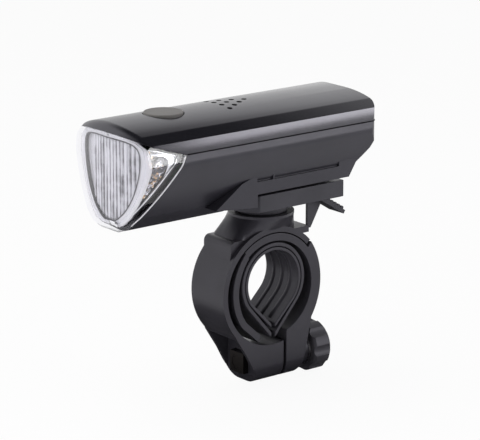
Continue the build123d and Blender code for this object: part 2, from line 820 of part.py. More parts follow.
# Release tongue in the plate's slot: a catch on top, a ribbed thumb tab and a fin below
tongue_front = tongue_root + running_gap
tab_run = tab_tip_place - tongue_bend
tab_length = math.hypot(tab_run, tab_drop)
tab_slope = tab_drop / tab_run
tab_tip = (tab_tip_place, plate_bottom - tab_drop)
tab_back = (
    tab_tip[0] + tongue_thickness * tab_drop / tab_length,
    tab_tip[1] + tongue_thickness * tab_run / tab_length,
)
bend_shift = tongue_thickness * tab_drop / (tab_length + tab_run)
fin_bottom = plate_bottom - fin_drop
fin_top = plate_bottom - tab_slope * (fin_front - tongue_bend) + tongue_thickness / 2
with BuildPart() as release_tongue:
    with BuildSketch(Plane.YZ):
        with BuildLine():
            Polyline(
                (tongue_front, plate_bottom),
                (tongue_bend, plate_bottom),
                tab_tip,
                tab_back,
                (tongue_bend + bend_shift, plate_bottom + tongue_thickness),
                (tongue_front, plate_bottom + tongue_thickness),
                close=True,
            )
        make_face()
    extrude(amount=tongue_width / 2, both=True)
    with BuildSketch(Plane.XY.offset(plate_bottom + tongue_thickness)):
        with Locations((0, tongue_bend - catch_length)):
            Rectangle(tongue_width / 2, catch_length)
    extrude(amount=catch_height - running_gap)
    for rib in range(tab_ribs):
        along_share = tab_rib_start_share + (1 - tab_rib_start_share) * rib / tab_ribs
        rib_y = tongue_bend + bend_shift + (tab_back[0] - tongue_bend - bend_shift) * along_share
        rib_z = plate_bottom + tongue_thickness - tab_drop * along_share
        with BuildSketch(Plane.YZ):
            with Locations((rib_y, rib_z)):
                Circle(tab_rib_radius)
        extrude(amount=tongue_width / 2, both=True)
    with BuildSketch(Plane.YZ):
        with BuildLine():
            Polyline(
                (fin_front, fin_top),
                (fin_front + fin_length, fin_top - tab_slope * fin_length),
                (fin_front + fin_tip, fin_bottom),
                (fin_front, fin_bottom),
                close=True,
            )
        make_face()
    extrude(amount=fin_thickness / 2, both=True)
release_tongue.part.label = "release_tongue"
export_step(release_tongue.part, "parts/release_tongue.step")

# Fixed jaw: the clamp ring's left half and arch, its lug, the saddle and the round neck
half_jaw = jaw_width / 2
cut_reach = 2 * ring_radius
arch_end = (
    cut_reach * math.cos(math.radians(arch_end_angle)),
    -ring_drop + cut_reach * math.sin(math.radians(arch_end_angle)),
)
recess_width = nut_width + 2 * pocket_fit
pocket_middle = (pocket_top + pocket_bottom) / 2
nut_rear = nut_place + nut_thickness / 2
with BuildPart() as fixed_jaw:
    with BuildSketch(Plane.YZ):
        with Locations(ring_centre):
            Circle(ring_radius)
        with BuildLine():
            Polyline(
                (lug_front_top, -lug_front_drops[0]),
                (lug_front_middle, -lug_front_drops[1]),
                (lug_front_lower, -lug_front_drops[2]),
                (lug_front_foot, -lug_front_drops[3]),
                (lug_front, -lug_drop),
                (split_place, -lug_drop),
                (split_place, -ring_drop),
                close=True,
            )
        make_face()
        with Locations(ring_centre):
            Circle(ring_inner_radius, mode=Mode.SUBTRACT)
        with BuildLine():
            Polyline(
                (0, -ring_drop),
                (split_place, -ring_drop),
                (split_place, -cut_reach),
                (cut_reach, -cut_reach),
                (cut_reach, arch_end[1]),
                arch_end,
                close=True,
            )
        make_face(mode=Mode.SUBTRACT)
    extrude(amount=half_jaw, both=True)
    lug_edges = fixed_jaw.edges().filter_by(Axis.Y).group_by(Axis.Z)[0]
    fillet(lug_edges, radius=lug_corner_radius)
    with BuildSketch(Plane.YZ) as saddle_side:
        with BuildLine():
            Polyline(
                (saddle_front, saddle_height),
                (saddle_front, saddle_height - ledge_thickness - saddle_edge_radius),
                (lug_front_top, -ring_drop),
                (0, -ring_drop),
                (saddle_rear, saddle_height - ledge_thickness),
                (saddle_rear, saddle_height),
                close=True,
            )
        make_face()
        fillet(saddle_side.vertices().group_by(Axis.Y)[-1].sort_by(Axis.X)[0], radius=saddle_edge_radius)
    extrude(amount=half_jaw - saddle_setback, both=True)
    with BuildSketch(Plane.XY.offset(saddle_height - neck_root)):
        with Locations((0, (saddle_front + saddle_edge_radius + saddle_rear) / 2)):
            RectangleRounded(
                jaw_width - 2 * saddle_setback - seam,
                saddle_rear - saddle_front - saddle_edge_radius,
                radius=saddle_corner_radius,
            )
    with BuildSketch(Plane.XY.offset(neck_top - neck_rim)):
        with Locations((0, swivel_place)):
            Circle(neck_radius)
    loft()
    with BuildSketch(Plane.XY.offset(neck_top - neck_rim)):
        with Locations((0, swivel_place)):
            Circle(neck_radius)
    extrude(amount=neck_rim)
    with BuildSketch(Plane.XY.offset(ledge_height)):
        with Locations((half_jaw - ledge_width / 2, (ledge_rear + swivel_place) / 2)):
            Rectangle(ledge_width, ledge_rear - swivel_place)
    extrude(amount=ledge_thickness)
    with BuildSketch(Plane.YZ):
        with Locations(ring_centre):
            Circle(ring_inner_radius)
    extrude(amount=jaw_width, both=True, mode=Mode.SUBTRACT)
    with BuildSketch(Plane.XY.offset(neck_top)):
        with Locations((0, swivel_place)):
            Circle(swivel_screw_radius)
    extrude(amount=-(swivel_screw_depth + seam), mode=Mode.SUBTRACT)
    with BuildSketch(Plane.XZ.offset(-split_place)):
        with Locations((0, -screw_drop)):
            Circle(screw_radius + 2 * pin_fit)
    extrude(amount=cut_reach, mode=Mode.SUBTRACT)
    with BuildSketch(Plane.XZ.offset(-nut_rear)):
        with Locations((0, -screw_drop)):
            Rectangle(recess_width, recess_width)
    extrude(amount=cut_reach, mode=Mode.SUBTRACT)
    with BuildSketch(Plane.YZ):
        with Locations((nut_place - cut_reach / 2, -pocket_middle)):
            Rectangle(cut_reach, pocket_bottom - pocket_top)
        with Locations(ring_centre):
            Circle(ring_inner_radius + pocket_roof, mode=Mode.SUBTRACT)
    extrude(amount=pocket_width / 2, both=True, mode=Mode.SUBTRACT)
fixed_jaw.part.label = "fixed_jaw"
export_step(fixed_jaw.part, "parts/fixed_jaw.step")

# Moving jaw: the band under the arch, its free left leg and its lug with the screw's collar
band_inner_radius = band_radius - band_wall
split_rear = split_place + split_gap
leg_outer = [
    (r * math.cos(math.radians(a)), r * math.sin(math.radians(a)) - ring_drop)
    for r, a in zip(leg_outer_radii, leg_angles)
]
leg_inner = [
    (r * math.cos(math.radians(a)), r * math.sin(math.radians(a)) - ring_drop)
    for r, a in zip(leg_inner_radii, leg_angles)
]
leg_cut = (
    cut_reach * math.cos(math.radians(leg_angles[0])),
    cut_reach * math.sin(math.radians(leg_angles[0])) - ring_drop,
)
collar_end = knob_front - washer_thickness - seam
shoulder_angle = math.radians(arch_end_angle - arch_gap_angle)
shoulder_top = (
    ring_radius * math.cos(shoulder_angle),
    -ring_drop + ring_radius * math.sin(shoulder_angle),
)
with BuildPart() as swing_jaw:
    with BuildSketch(Plane.YZ):
        with Locations(ring_centre):
            Circle(band_radius)
        with BuildLine():
            ThreePointArc(
                shoulder_top,
                (ring_radius - 2 * band_gap, -ring_drop),
                (lug_rear_middle, -lug_rear_middle_drop),
            )
            Polyline(
                (lug_rear_middle, -lug_rear_middle_drop),
                (lug_rear, -screw_drop),
                (lug_rear_foot, -lug_drop),
                (split_rear, -lug_drop),
                (split_rear, -ring_drop),
                shoulder_top,
            )
        make_face()
        with Locations(ring_centre):
            Circle(band_inner_radius, mode=Mode.SUBTRACT)
        with BuildLine():
            Polyline(
                (0, -ring_drop),
                leg_cut,
                (-cut_reach, -cut_reach),
                (split_rear, -cut_reach),
                (split_rear, -ring_drop),
                close=True,
            )
        make_face(mode=Mode.SUBTRACT)
        with BuildLine():
            ThreePointArc(leg_outer[0], leg_outer[1], leg_outer[2])
            Polyline(leg_outer[2], leg_outer[3], leg_inner[3], leg_inner[2])
            ThreePointArc(leg_inner[2], leg_inner[1], leg_inner[0])
            Line(leg_inner[0], leg_outer[0])
        make_face()
    extrude(amount=half_jaw, both=True)
    lug_edges = swing_jaw.edges().filter_by(Axis.Y).group_by(Axis.Z)[0]
    fillet(lug_edges, radius=lug_corner_radius)
    with BuildSketch(Plane.XZ.offset(-lug_rear_foot)):
        with Locations((0, -screw_drop)):
            Circle(collar_radius)
    extrude(amount=lug_rear_foot - collar_end)
    with BuildSketch(Plane.XZ.offset(-split_rear + overrun)):
        with Locations((0, -screw_drop)):
            SlotOverall(
                2 * (screw_radius + screw_hole_slack), 2 * (screw_radius + pin_fit), rotation=90
            )
    extrude(amount=-(collar_end + 2 * overrun), mode=Mode.SUBTRACT)
swing_jaw.part.label = "swing_jaw"
export_step(swing_jaw.part, "parts/swing_jaw.step")

# Square nut in the fixed lug, clamp screw, washer and fluted knob
with BuildPart() as clamp_nut:
    with BuildSketch(Plane.XZ.offset(-(nut_place + nut_thickness / 2 - seam))):
        with Locations((0, -screw_drop)):
            Rectangle(nut_width, nut_width)
            Circle(screw_radius + pin_fit, mode=Mode.SUBTRACT)
    extrude(amount=nut_thickness)
clamp_nut.part.label = "clamp_nut"
export_step(clamp_nut.part, "parts/clamp_nut.step")

screw_tip = nut_place - nut_thickness / 2
screw_end = knob_front + knob_length / 2
with BuildPart() as clamp_screw:
    with BuildSketch(Plane.XZ.offset(-screw_end)):
        with Locations((0, -screw_drop)):
            Circle(screw_radius)
    extrude(amount=screw_end - screw_tip)
clamp_screw.part.label = "clamp_screw"
export_step(clamp_screw.part, "parts/clamp_screw.step")

with BuildPart() as knob_washer:
    with BuildSketch(Plane.XZ.offset(-(knob_front - seam / 2))):
        with Locations((0, -screw_drop)):
            Circle(collar_radius)
            Circle(screw_radius + pin_fit, mode=Mode.SUBTRACT)
    extrude(amount=washer_thickness)
knob_washer.part.label = "knob_washer"
export_step(knob_washer.part, "parts/knob_washer.step")

flute_circle = knob_radius + knob_flute_radius - knob_flute_depth
knob_axis = Plane(origin=(0, knob_front, -screw_drop), x_dir=(1, 0, 0), z_dir=(0, 1, 0))
with BuildPart() as clamp_knob:
    with BuildSketch(knob_axis):
        Circle(knob_radius)
    extrude(amount=knob_length)
    chamfer(clamp_knob.edges().filter_by(GeomType.CIRCLE), length=knob_edge)
    with BuildSketch(knob_axis):
        with PolarLocations(flute_circle, knob_flutes):
            Circle(knob_flute_radius)
    extrude(amount=knob_length, mode=Mode.SUBTRACT)
    with BuildSketch(knob_axis):
        Circle(screw_radius)
    extrude(amount=knob_length / 2, mode=Mode.SUBTRACT)
clamp_knob.part.label = "clamp_knob"
export_step(clamp_knob.part, "parts/clamp_knob.step")

# Swivel screw with its washer, sunk in the plate's hub
washer_bottom = channel_floor - seat_depth + seam
with BuildPart() as swivel_washer:
    with BuildSketch(Plane.XY.offset(washer_bottom)):
        with Locations((0, swivel_place)):
            Circle(swivel_washer_radius - pin_fit)
            Circle(swivel_screw_radius + pin_fit, mode=Mode.SUBTRACT)
    extrude(amount=swivel_washer_thickness)
swivel_washer.part.label = "swivel_washer"
export_step(swivel_washer.part, "parts/swivel_washer.step")

with BuildPart() as swivel_screw:
    with BuildSketch(Plane.XY.offset(washer_bottom + swivel_washer_thickness)):
        with Locations((0, swivel_place)):
            Circle(swivel_head_radius)
    extrude(amount=swivel_head_height)
    with BuildSketch(Plane.XY.offset(neck_top - swivel_screw_depth)):
        with Locations((0, swivel_place)):
            Circle(swivel_screw_radius)
    extrude(amount=washer_bottom + swivel_washer_thickness - neck_top + swivel_screw_depth)
swivel_screw.part.label = "swivel_screw"
export_step(swivel_screw.part, "parts/swivel_screw.step")

# Soft liners: teardrop bands with a split at the bottom, hung one in the other
inner_shim_radius = bar_radius + inner_shim_wall
for name, radius, drop, wall in (
    ("outer_shim", outer_shim_radius, outer_shim_drop, outer_shim_wall),
    ("inner_shim", inner_shim_radius, inner_shim_drop, inner_shim_wall),
):
    with BuildPart() as shim:
        with BuildSketch(Plane.YZ) as teardrop:
            Circle(radius)
            tangent_angle = math.acos(radius / drop)
            tangent_y = radius * math.sin(tangent_angle)
            tangent_z = -radius * math.cos(tangent_angle)
            with BuildLine():
                Polyline((-tangent_y, tangent_z), (0, -drop), (tangent_y, tangent_z), (0, 0), close=True)
            make_face()
            offset(amount=-wall, mode=Mode.SUBTRACT, kind=Kind.INTERSECTION)
            with Locations((0, -drop)):
                Rectangle(shim_split, drop, mode=Mode.SUBTRACT)
        extrude(amount=half_jaw, both=True)
    shim.part.label = name
    export_step(shim.part, f"parts/{name}.step")
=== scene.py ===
# %% [markdown]
# # A clip-on headlight for a handlebar
# The lamp is a dark plastic box with a clear lens wrapped round its nose. It slides on to a small
# bracket, which turns on the neck of a ring clamp. The solids come in ready made from the CAD
# model. This notebook gives them their light, their finishes and the fine detail.

# %% Setup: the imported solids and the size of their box
import json
import math
import bpy
import bmesh
from mathutils import Vector, Matrix
from mathutils.bvhtree import BVHTree


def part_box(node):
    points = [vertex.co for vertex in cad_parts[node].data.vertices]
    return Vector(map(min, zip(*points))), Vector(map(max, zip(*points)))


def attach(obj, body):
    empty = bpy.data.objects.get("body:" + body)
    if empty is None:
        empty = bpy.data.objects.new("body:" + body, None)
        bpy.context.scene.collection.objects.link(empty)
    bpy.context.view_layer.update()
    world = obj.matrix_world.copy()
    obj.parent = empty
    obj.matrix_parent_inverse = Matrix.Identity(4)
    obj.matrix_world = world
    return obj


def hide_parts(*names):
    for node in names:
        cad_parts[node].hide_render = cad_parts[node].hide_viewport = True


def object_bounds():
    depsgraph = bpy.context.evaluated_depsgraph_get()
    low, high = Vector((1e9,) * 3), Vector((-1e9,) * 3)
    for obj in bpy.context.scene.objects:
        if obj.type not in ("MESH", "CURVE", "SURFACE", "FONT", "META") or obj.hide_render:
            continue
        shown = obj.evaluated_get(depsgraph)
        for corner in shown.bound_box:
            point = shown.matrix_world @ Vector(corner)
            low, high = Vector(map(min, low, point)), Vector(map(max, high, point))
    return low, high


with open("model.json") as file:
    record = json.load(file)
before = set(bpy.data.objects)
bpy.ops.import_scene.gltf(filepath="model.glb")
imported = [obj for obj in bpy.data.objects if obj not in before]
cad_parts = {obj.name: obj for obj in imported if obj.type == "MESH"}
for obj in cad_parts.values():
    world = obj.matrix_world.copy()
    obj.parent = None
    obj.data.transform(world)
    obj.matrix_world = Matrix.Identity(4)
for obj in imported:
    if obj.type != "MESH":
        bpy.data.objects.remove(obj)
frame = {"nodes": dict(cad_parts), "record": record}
cad_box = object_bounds()
MM = 0.001

# %% [markdown]
# ## Camera
# The photograph was taken with a long lens from the front right, a little above. A long lens
# keeps the far end of the lamp nearly as large as the near end. The camera is placed by its
# distance and two angles, and moved sideways so that the handlebar's axis lands where it should.

# %% Camera
view_angle = math.radians(51.5)
view_height = math.radians(15.0)
camera_distance = 875 * MM
focal_px = 2500.0
photo_width, photo_height = 480, 440
axis_across, axis_down = 257.4, 275.9
sensor_width = 36
sideways = (axis_across - photo_width / 2) / focal_px * camera_distance
upward = (photo_height / 2 - axis_down) / focal_px * camera_distance
back = Vector(
    (
        math.sin(view_angle) * math.cos(view_height),
        -math.cos(view_angle) * math.cos(view_height),
        math.sin(view_height),
    )
)
right = Vector((math.cos(view_angle), math.sin(view_angle), 0))
up = back.cross(right)
camera_data = bpy.data.cameras.new("camera")
camera_data.sensor_width = sensor_width
camera_data.sensor_fit = "HORIZONTAL"
camera_data.lens = focal_px * sensor_width / photo_width
camera_data.clip_start = 0.05
camera = bpy.data.objects.new("camera", camera_data)
bpy.context.scene.collection.objects.link(camera)
axes = Matrix((right, up, back)).transposed().to_4x4()
eye = back * camera_distance - right * sideways - up * upward
camera.matrix_world = Matrix.Translation(eye) @ axes
bpy.context.scene.camera = camera
bpy.context.scene.view_settings.view_transform = "Standard"
print("lens", round(camera_data.lens, 1), "mm")

# %% [markdown]
# ## Writing shaders as sums
# A finish is easier to read as a sum than as a web of nodes. The small class below wraps one
# socket, so that plus, minus, times and power add the Math nodes by themselves.

# %% A wrapped socket
class Wire:
    """One output socket that can be used in sums."""

    def __init__(self, finish, socket):
        self.finish = finish
        self.socket = socket

    def sum(self, operation, *others):
        node = self.finish.tree.nodes.new("ShaderNodeMath")
        node.operation = operation
        for index, value in enumerate((self,) + others):
            self.finish.feed(node.inputs[index], value)
        return Wire(self.finish, node.outputs[0])

    def __add__(self, other):
        return self.sum("ADD", other)

    def __sub__(self, other):
        return self.sum("SUBTRACT", other)

    def __mul__(self, other):
        return self.sum("MULTIPLY", other)

    def __pow__(self, other):
        return self.sum("POWER", other)

    def __rsub__(self, other):
        return (self * -1) + other

    __radd__ = __add__
    __rmul__ = __mul__


# %% [markdown]
# A finish is one material. Its main shader is there from the start, and every other node comes
# from one method, which takes the node's type, its settings and what goes into its sockets. Noise
# reads the piece's own coordinates, so a grain stays in place when the piece moves.

# %% A finish
class Finish:
    """A material that is written in a few lines."""

    def __init__(self, name, **sockets):
        self.material = bpy.data.materials.new(name)
        self.material.use_nodes = True
        self.tree = self.material.node_tree
        self.shader = self.tree.nodes["Principled BSDF"]
        self.output = self.tree.nodes["Material Output"]
        self.set(**sockets)

    def feed(self, socket, value):
        if isinstance(value, Wire):
            self.tree.links.new(value.socket, socket)
        elif socket.type == "RGBA" and len(value) == 3:
            socket.default_value = (*value, 1)
        else:
            socket.default_value = value

    def set(self, **sockets):
        for name, value in sockets.items():
            self.feed(self.shader.inputs[name.replace("_", " ")], value)

    def node(self, kind, out=0, settings=None, stops=None, **sockets):
        """A node; a socket is given by its name, or by i and its number."""
        node = self.tree.nodes.new("ShaderNode" + kind)
        for name, value in (settings or {}).items():
            setattr(node, name, value)
        for index, (place, colour) in enumerate(stops or []):
            ramp = node.color_ramp
            element = ramp.elements[index] if index < 2 else ramp.elements.new(place)
            element.position = place
            element.color = (*colour, 1)
        for name, value in sockets.items():
            numbered = name[0] == "i" and name[1:].isdigit()
            key = int(name[1:]) if numbered else name.replace("_", " ")
            self.feed(node.inputs[key], value)
        return Wire(self, node.outputs[out])

    def place(self):
        return self.node("TexCoord", out="Object")

    def noise(self, scale, detail):
        return self.node("TexNoise", Vector=self.place(), Scale=scale, Detail=detail, Roughness=0.5)

    def grain(self, height, distance):
        self.set(Normal=self.node("Bump", Height=height, Distance=distance, Strength=1.0))


# %% [markdown]
# ## Light and floor
# Dark polished plastic shows what stands round it more than its own colour. The photograph was
# taken in a white tent: the low part of the surroundings is white and the part overhead is dim,
# which draws the black line along the rounded edge of the cover. The side where the camera stands
# is dim too, as in a real room, so that the faces turned to the camera stay dark. Two grey ramps
# are multiplied for this, one over the height and one towards the camera. They are seen in
# reflections and light the lamp, while the camera itself sees plain white behind it.

# %% Surroundings
white_up_to = 0.60
dark_from = 0.84
tent_greys = [(white_up_to, 1.15), (dark_from, 0.02)]
room_greys = [(0.0, 1.0), (0.3, 0.13)]
world = bpy.data.worlds.new("tent")
bpy.context.scene.world = world
world.use_nodes = True
sky = world.node_tree


def sky_node(kind, **values):
    """A node of the surroundings; a value that is a socket is linked."""
    node = sky.nodes.new("ShaderNode" + kind)
    for name, value in values.items():
        socket = node.inputs[int(name[1:])] if name[1:].isdigit() else node.inputs[name]
        if isinstance(value, bpy.types.NodeSocket):
            sky.links.new(value, socket)
        else:
            socket.default_value = value
    return node


def grey_ramp(value, greys):
    """The colour that a ramp between two greys gives for a value."""
    ramp = sky_node("ValToRGB", Fac=value)
    for element, (place, grey) in zip(ramp.color_ramp.elements, greys):
        element.position = place
        element.color = (grey, grey, grey, 1)
    return ramp.outputs[0]


direction = sky_node("TexCoord").outputs["Generated"]
height_seen = sky_node("SeparateXYZ", i0=direction)
tent = grey_ramp(height_seen.outputs["Z"], tent_greys)
towards_room = Vector((back.x, back.y, 0)).normalized()
room_side = sky_node("VectorMath", i0=direction, i1=tuple(towards_room))
room_side.operation = "DOT_PRODUCT"
room = grey_ramp(room_side.outputs["Value"], room_greys)
around = sky_node("MixRGB", Fac=1.0, Color1=tent, Color2=room)
around.blend_type = "MULTIPLY"
camera_ray = sky_node("LightPath").outputs["Is Camera Ray"]
behind = sky_node("MixRGB", Fac=camera_ray, Color1=around.outputs[0], Color2=(1, 1, 1, 1))
sky.links.new(behind.outputs[0], sky.nodes["Background"].inputs["Color"])
print("tent: white up to", round(math.degrees(math.asin(white_up_to))), "degrees")

# %% [markdown]
# A tent alone gives a flat light. Three soft boxes are added: a wide one overhead for the tops, a
# weak one in front for the clamp's faces, and a long low one on the right. Only the long one shows
# in reflections. It draws the bright band on the cover below the black line.

# %% Lamps
def softbox(name, where, towards, size, watts, seen):
    """A rectangular lamp that looks from one point to another."""
    data = bpy.data.lights.new(name, "AREA")
    data.shape = "RECTANGLE"
    data.size, data.size_y = size
    data.energy = watts
    lamp = bpy.data.objects.new(name, data)
    bpy.context.scene.collection.objects.link(lamp)
    lamp.location = where
    aim = Vector(towards) - Vector(where)
    lamp.rotation_euler = aim.to_track_quat("-Z", "Y").to_euler()
    lamp.visible_glossy = seen
    lamp.visible_camera = False


lamp_middle = (0, -0.01, 0.04)
# each box: name, place and size in metres, watts, and whether reflections show it
softboxes = [
    ("overhead", (-0.1, -0.25, 0.75), (0.6, 0.6), 3.0, False),
    ("side_box", (0.62, 0.45, 0.15), (0.5, 0.16), 1.5, True),
    ("front_fill", (0.3, -0.8, 0.3), (0.5, 0.5), 2.0, False),
]
for name, place, box_size, watts, seen in softboxes:
    softbox(name, place, lamp_middle, box_size, watts, seen)
print("soft boxes:", len(softboxes))

# %% [markdown]
# The floor is white paper. It glows for the camera and for reflections, so that it melts into the
# background, and takes a soft shadow all the same. It is a plain round sheet that ends far outside
# the picture.

# %% Floor
floor_gap = 0.6 * MM
floor_height = cad_box[0][2] - floor_gap
floor_radius = 3
floor_sides = 48
paper_glow = 0.93
floor_mesh = bpy.data.meshes.new("floor")
turns = [i * math.tau / floor_sides for i in range(floor_sides)]
floor_rim = [(floor_radius * math.cos(t), floor_radius * math.sin(t), floor_height) for t in turns]
floor_mesh.from_pydata(floor_rim, [], [list(range(floor_sides))])
floor = bpy.data.objects.new("floor", floor_mesh)
bpy.context.scene.collection.objects.link(floor)
paper = Finish("paper", Base_Color=(0.9, 0.9, 0.9), Roughness=0.9)
ray = paper.node("LightPath", out="Is Camera Ray")
mirrored = paper.node("LightPath", out="Is Glossy Ray")
through = paper.node("LightPath", out="Is Transmission Ray")
glow = paper.node("Emission", Color=(1, 1, 1), Strength=1.0)
shown = paper.node("Math", i0=ray + mirrored, i1=through, settings={"operation": "MAXIMUM"})
plain = Wire(paper, paper.shader.outputs[0])
lit = paper.node("MixShader", i0=shown * paper_glow, i1=plain, i2=glow)
paper.tree.links.new(lit.socket, paper.output.inputs["Surface"])
floor_mesh.materials.append(paper.material)
print("floor at", round(floor_height / MM, 1), "mm")

# %% [markdown]
# The white floor would also be mirrored in the lower faces, which are dark in the photograph. A
# photographer lays a black card under the lamp for this. Here it is a sheet that only reflections
# find: the camera, the soft shadow and the light on the floor pass it by.

# %% Black card
card_left, card_right = -0.14, 0.03
card_front, card_rear = -0.05, 0.18
card_height = floor_height + 1 * MM
card_corners = [
    (card_left, card_front, card_height),
    (card_right, card_front, card_height),
    (card_right, card_rear, card_height),
    (card_left, card_rear, card_height),
]
card_mesh = bpy.data.meshes.new("black_card")
card_mesh.from_pydata(card_corners, [], [(0, 1, 2, 3)])
card = bpy.data.objects.new("black_card", card_mesh)
bpy.context.scene.collection.objects.link(card)
card_black = Finish("card_black", Base_Color=(0.02, 0.02, 0.02), Roughness=0.9)
card_mesh.materials.append(card_black.material)
card.visible_camera = False
card.visible_diffuse = False
card.visible_shadow = False
card.visible_transmission = False
print("card", round(card_right - card_left, 2), "by", round(card_rear - card_front, 2), "m")

# %% [markdown]
# ## Finishes
# The shell, the bracket and the clamp are dark moulded plastic with a fine satin surface. Each
# gets a grain at its own scale and a little unevenness in roughness and colour. One function
# writes them all, because only their numbers differ. The soft liner, the button and the seal are
# the same mixture with a rougher surface.

# %% Moulded plastic
cool_tint = (0.92, 0.90, 1.0)
tone_spread = 0.14


def moulded(name, colour, roughness, grain_size, grain_depth, coat=0.0, shine=0.5):
    """Injection-moulded plastic: fine grain, uneven gloss and a little variation of colour."""
    finish = Finish(name, Specular_IOR_Level=shine, Specular_Tint=cool_tint)
    cloudy = finish.noise(90, detail=4)
    fine = finish.noise(1 / grain_size, detail=2)
    darker = tuple(c * (1 - tone_spread) for c in colour)
    paler = tuple(c * (1 + tone_spread) for c in colour)
    tint = finish.node("ValToRGB", Fac=cloudy, stops=[(0.3, darker), (0.7, paler)])
    finish.set(Base_Color=tint, Roughness=cloudy * 0.1 + (roughness - 0.05), Coat_Weight=coat)
    if coat:
        finish.set(Coat_Roughness=0.03)
    finish.grain(fine, grain_depth)
    return finish.material


# %% [markdown]
# The top cover is polished: a near-black plastic with a sharp reflection and only faint waves from
# moulding. Its side walls look slightly swollen in the photograph, so that the reflections stretch
# along them. The solid walls are flat. The swell is a height that falls off with the square of
# the distance from the wall's middle, and a Bump node turns it into bent reflections. That is
# lighter than bending the mesh, and leaves the outline alone.

# %% Polished cover
wall_middle = 59.3
swell_radius = 28.0
sag_middle = 20.0
sag_radius = 520.0
wave_depth = 0.002 * MM


def cover_finish():
    """Polished plastic whose flat side walls seem to swell a little, as moulded walls do."""
    finish = Finish("cover_gloss", Base_Color=(0.010, 0.010, 0.013), IOR=1.75, Specular_Tint=cool_tint)
    cloudy = finish.noise(90, detail=4)
    level = finish.node("SeparateXYZ", out="Z", i0=finish.place())
    length = finish.node("SeparateXYZ", out="Y", i0=finish.place())
    off_middle = level * (1 / MM) - wall_middle
    along = length * (1 / MM) - sag_middle
    swell = off_middle * off_middle * (-0.5 / swell_radius) + along * along * (-0.5 / sag_radius)
    swollen = finish.node("Bump", Height=swell, Distance=1 * MM, Strength=1.0)
    waves = finish.noise(420, detail=2)
    bump = finish.node("Bump", Height=waves, Distance=wave_depth, Strength=1.0, Normal=swollen)
    finish.set(Roughness=cloudy * 0.08 + 0.17, Normal=bump)
    return finish.material


cover_gloss = cover_finish()
print("cover:", cover_gloss.name, "swell radius", swell_radius, "mm")

# %% [markdown]
# The other moulded parts differ in tone and gloss. The knob and the bracket are a little paler
# than the shell, the clamp is smoother, and the button is grey rubber. The colours are near black
# and barely blue, because a truly black plastic would lose its shape in the picture.

# %% Plastics and rubber
# each one: name, colour, roughness, size of its grain and depth of its grain
shell_satin = moulded("shell_satin", (0.026, 0.025, 0.032), 0.36, 0.35 * MM, 0.02 * MM, shine=0.45)
bracket_satin = moulded("bracket_satin", (0.036, 0.035, 0.042), 0.4, 0.3 * MM, 0.02 * MM, shine=0.4)
clamp_satin = moulded("clamp_satin", (0.029, 0.0275, 0.034), 0.33, 0.35 * MM, 0.02 * MM, shine=0.4)
knob_satin = moulded("knob_satin", (0.050, 0.048, 0.057), 0.5, 0.3 * MM, 0.02 * MM)
button_soft = moulded("button_soft", (0.165, 0.158, 0.150), 0.6, 0.25 * MM, 0.03 * MM)
liner_soft = moulded("liner_soft", (0.042, 0.040, 0.048), 0.42, 0.3 * MM, 0.02 * MM, shine=0.35)
seal_soft = moulded("seal_soft", (0.015, 0.015, 0.015), 0.7, 0.3 * MM, 0.02 * MM)
switch_plastic = moulded("switch_plastic", (0.02, 0.02, 0.02), 0.5, 0.3 * MM, 0.01 * MM)
shadow = Finish("shadow_black", Base_Color=(0.002, 0.002, 0.003), Roughness=0.9, Specular_IOR_Level=0.1)
shadow_black = shadow.material
plastics = (shell_satin, bracket_satin, clamp_satin, knob_satin, button_soft, liner_soft)
print("plastics:", ", ".join(m.name for m in plastics))

# %% [markdown]
# Metals need two cues: a colour without any diffuse light, and a surface that is not quite even.
# The reflector is metallised plastic, so it keeps a mirror finish with soft dimples. The screws
# are zinc plated and get fine turning marks.

# %% Metals
def metal(name, colour, roughness, marks, depth):
    """Bare or plated metal with fine marks and uneven wear."""
    finish = Finish(name, Metallic=1.0)
    wear = finish.noise(60, detail=5)
    fine = finish.noise(marks, detail=2)
    worn = tuple(c * 0.85 for c in colour)
    tint = finish.node("ValToRGB", Fac=wear, stops=[(0.3, worn), (0.7, colour)])
    finish.set(Base_Color=tint, Roughness=wear * 0.12 + roughness)
    finish.grain(fine, depth)
    return finish.material


zinc = metal("zinc", (0.60, 0.60, 0.62), 0.25, 2500, 0.01 * MM)
black_zinc = metal("black_zinc", (0.07, 0.062, 0.06), 0.3, 2500, 0.01 * MM)
nickel = metal("nickel", (0.75, 0.73, 0.68), 0.15, 1500, 0.01 * MM)
mirror_chrome = metal("mirror_chrome", (0.93, 0.93, 0.95), 0.03, 420, 0.25 * MM)
print("metals:", ", ".join(m.name for m in (zinc, black_zinc, nickel, mirror_chrome)))

# %% [markdown]
# Clear plastic is the hard one. A thin clear wall mostly lets light through and shows a sharp
# reflection that grows as the wall is seen more edge-on. A see-through shader is mixed with a
# glossy one, and the share of gloss follows that angle, raised to a power. This keeps what stands
# behind the wall free of noise. A Fresnel node isn't used for the share, because it turns the far
# side of a wall into a full mirror.

# %% Clear plastics
edge_power = 5


def clear_plastic(name, tint, gloss, edge_share, extra):
    """A thin clear wall: see-through, with a reflection that grows towards its edges."""
    finish = Finish(name)
    waves = finish.node("Bump", Height=finish.noise(160, detail=2), Distance=0.03 * MM, Strength=0.6)
    see = finish.node("BsdfTransparent", Color=tint)
    shine = finish.node("BsdfGlossy", Color=(1, 1, 1), Roughness=gloss, Normal=waves)
    edge_on = finish.node("LayerWeight", out="Facing", Blend=0.5, Normal=waves)
    amount = edge_on**edge_power * edge_share + extra
    mixed = finish.node("MixShader", i0=amount, i1=see, i2=shine)
    finish.tree.links.new(mixed.socket, finish.output.inputs["Surface"])
    finish.tree.nodes.remove(finish.shader)
    return finish.material


lens_clear = clear_plastic("lens_clear", (0.97, 0.97, 0.985), 0.02, 0.9, 0.04)
emitter_clear = clear_plastic("emitter_clear", (0.9, 0.88, 0.75), 0.05, 1.0, 0.1)
print("clear:", lens_clear.name, "and", emitter_clear.name)

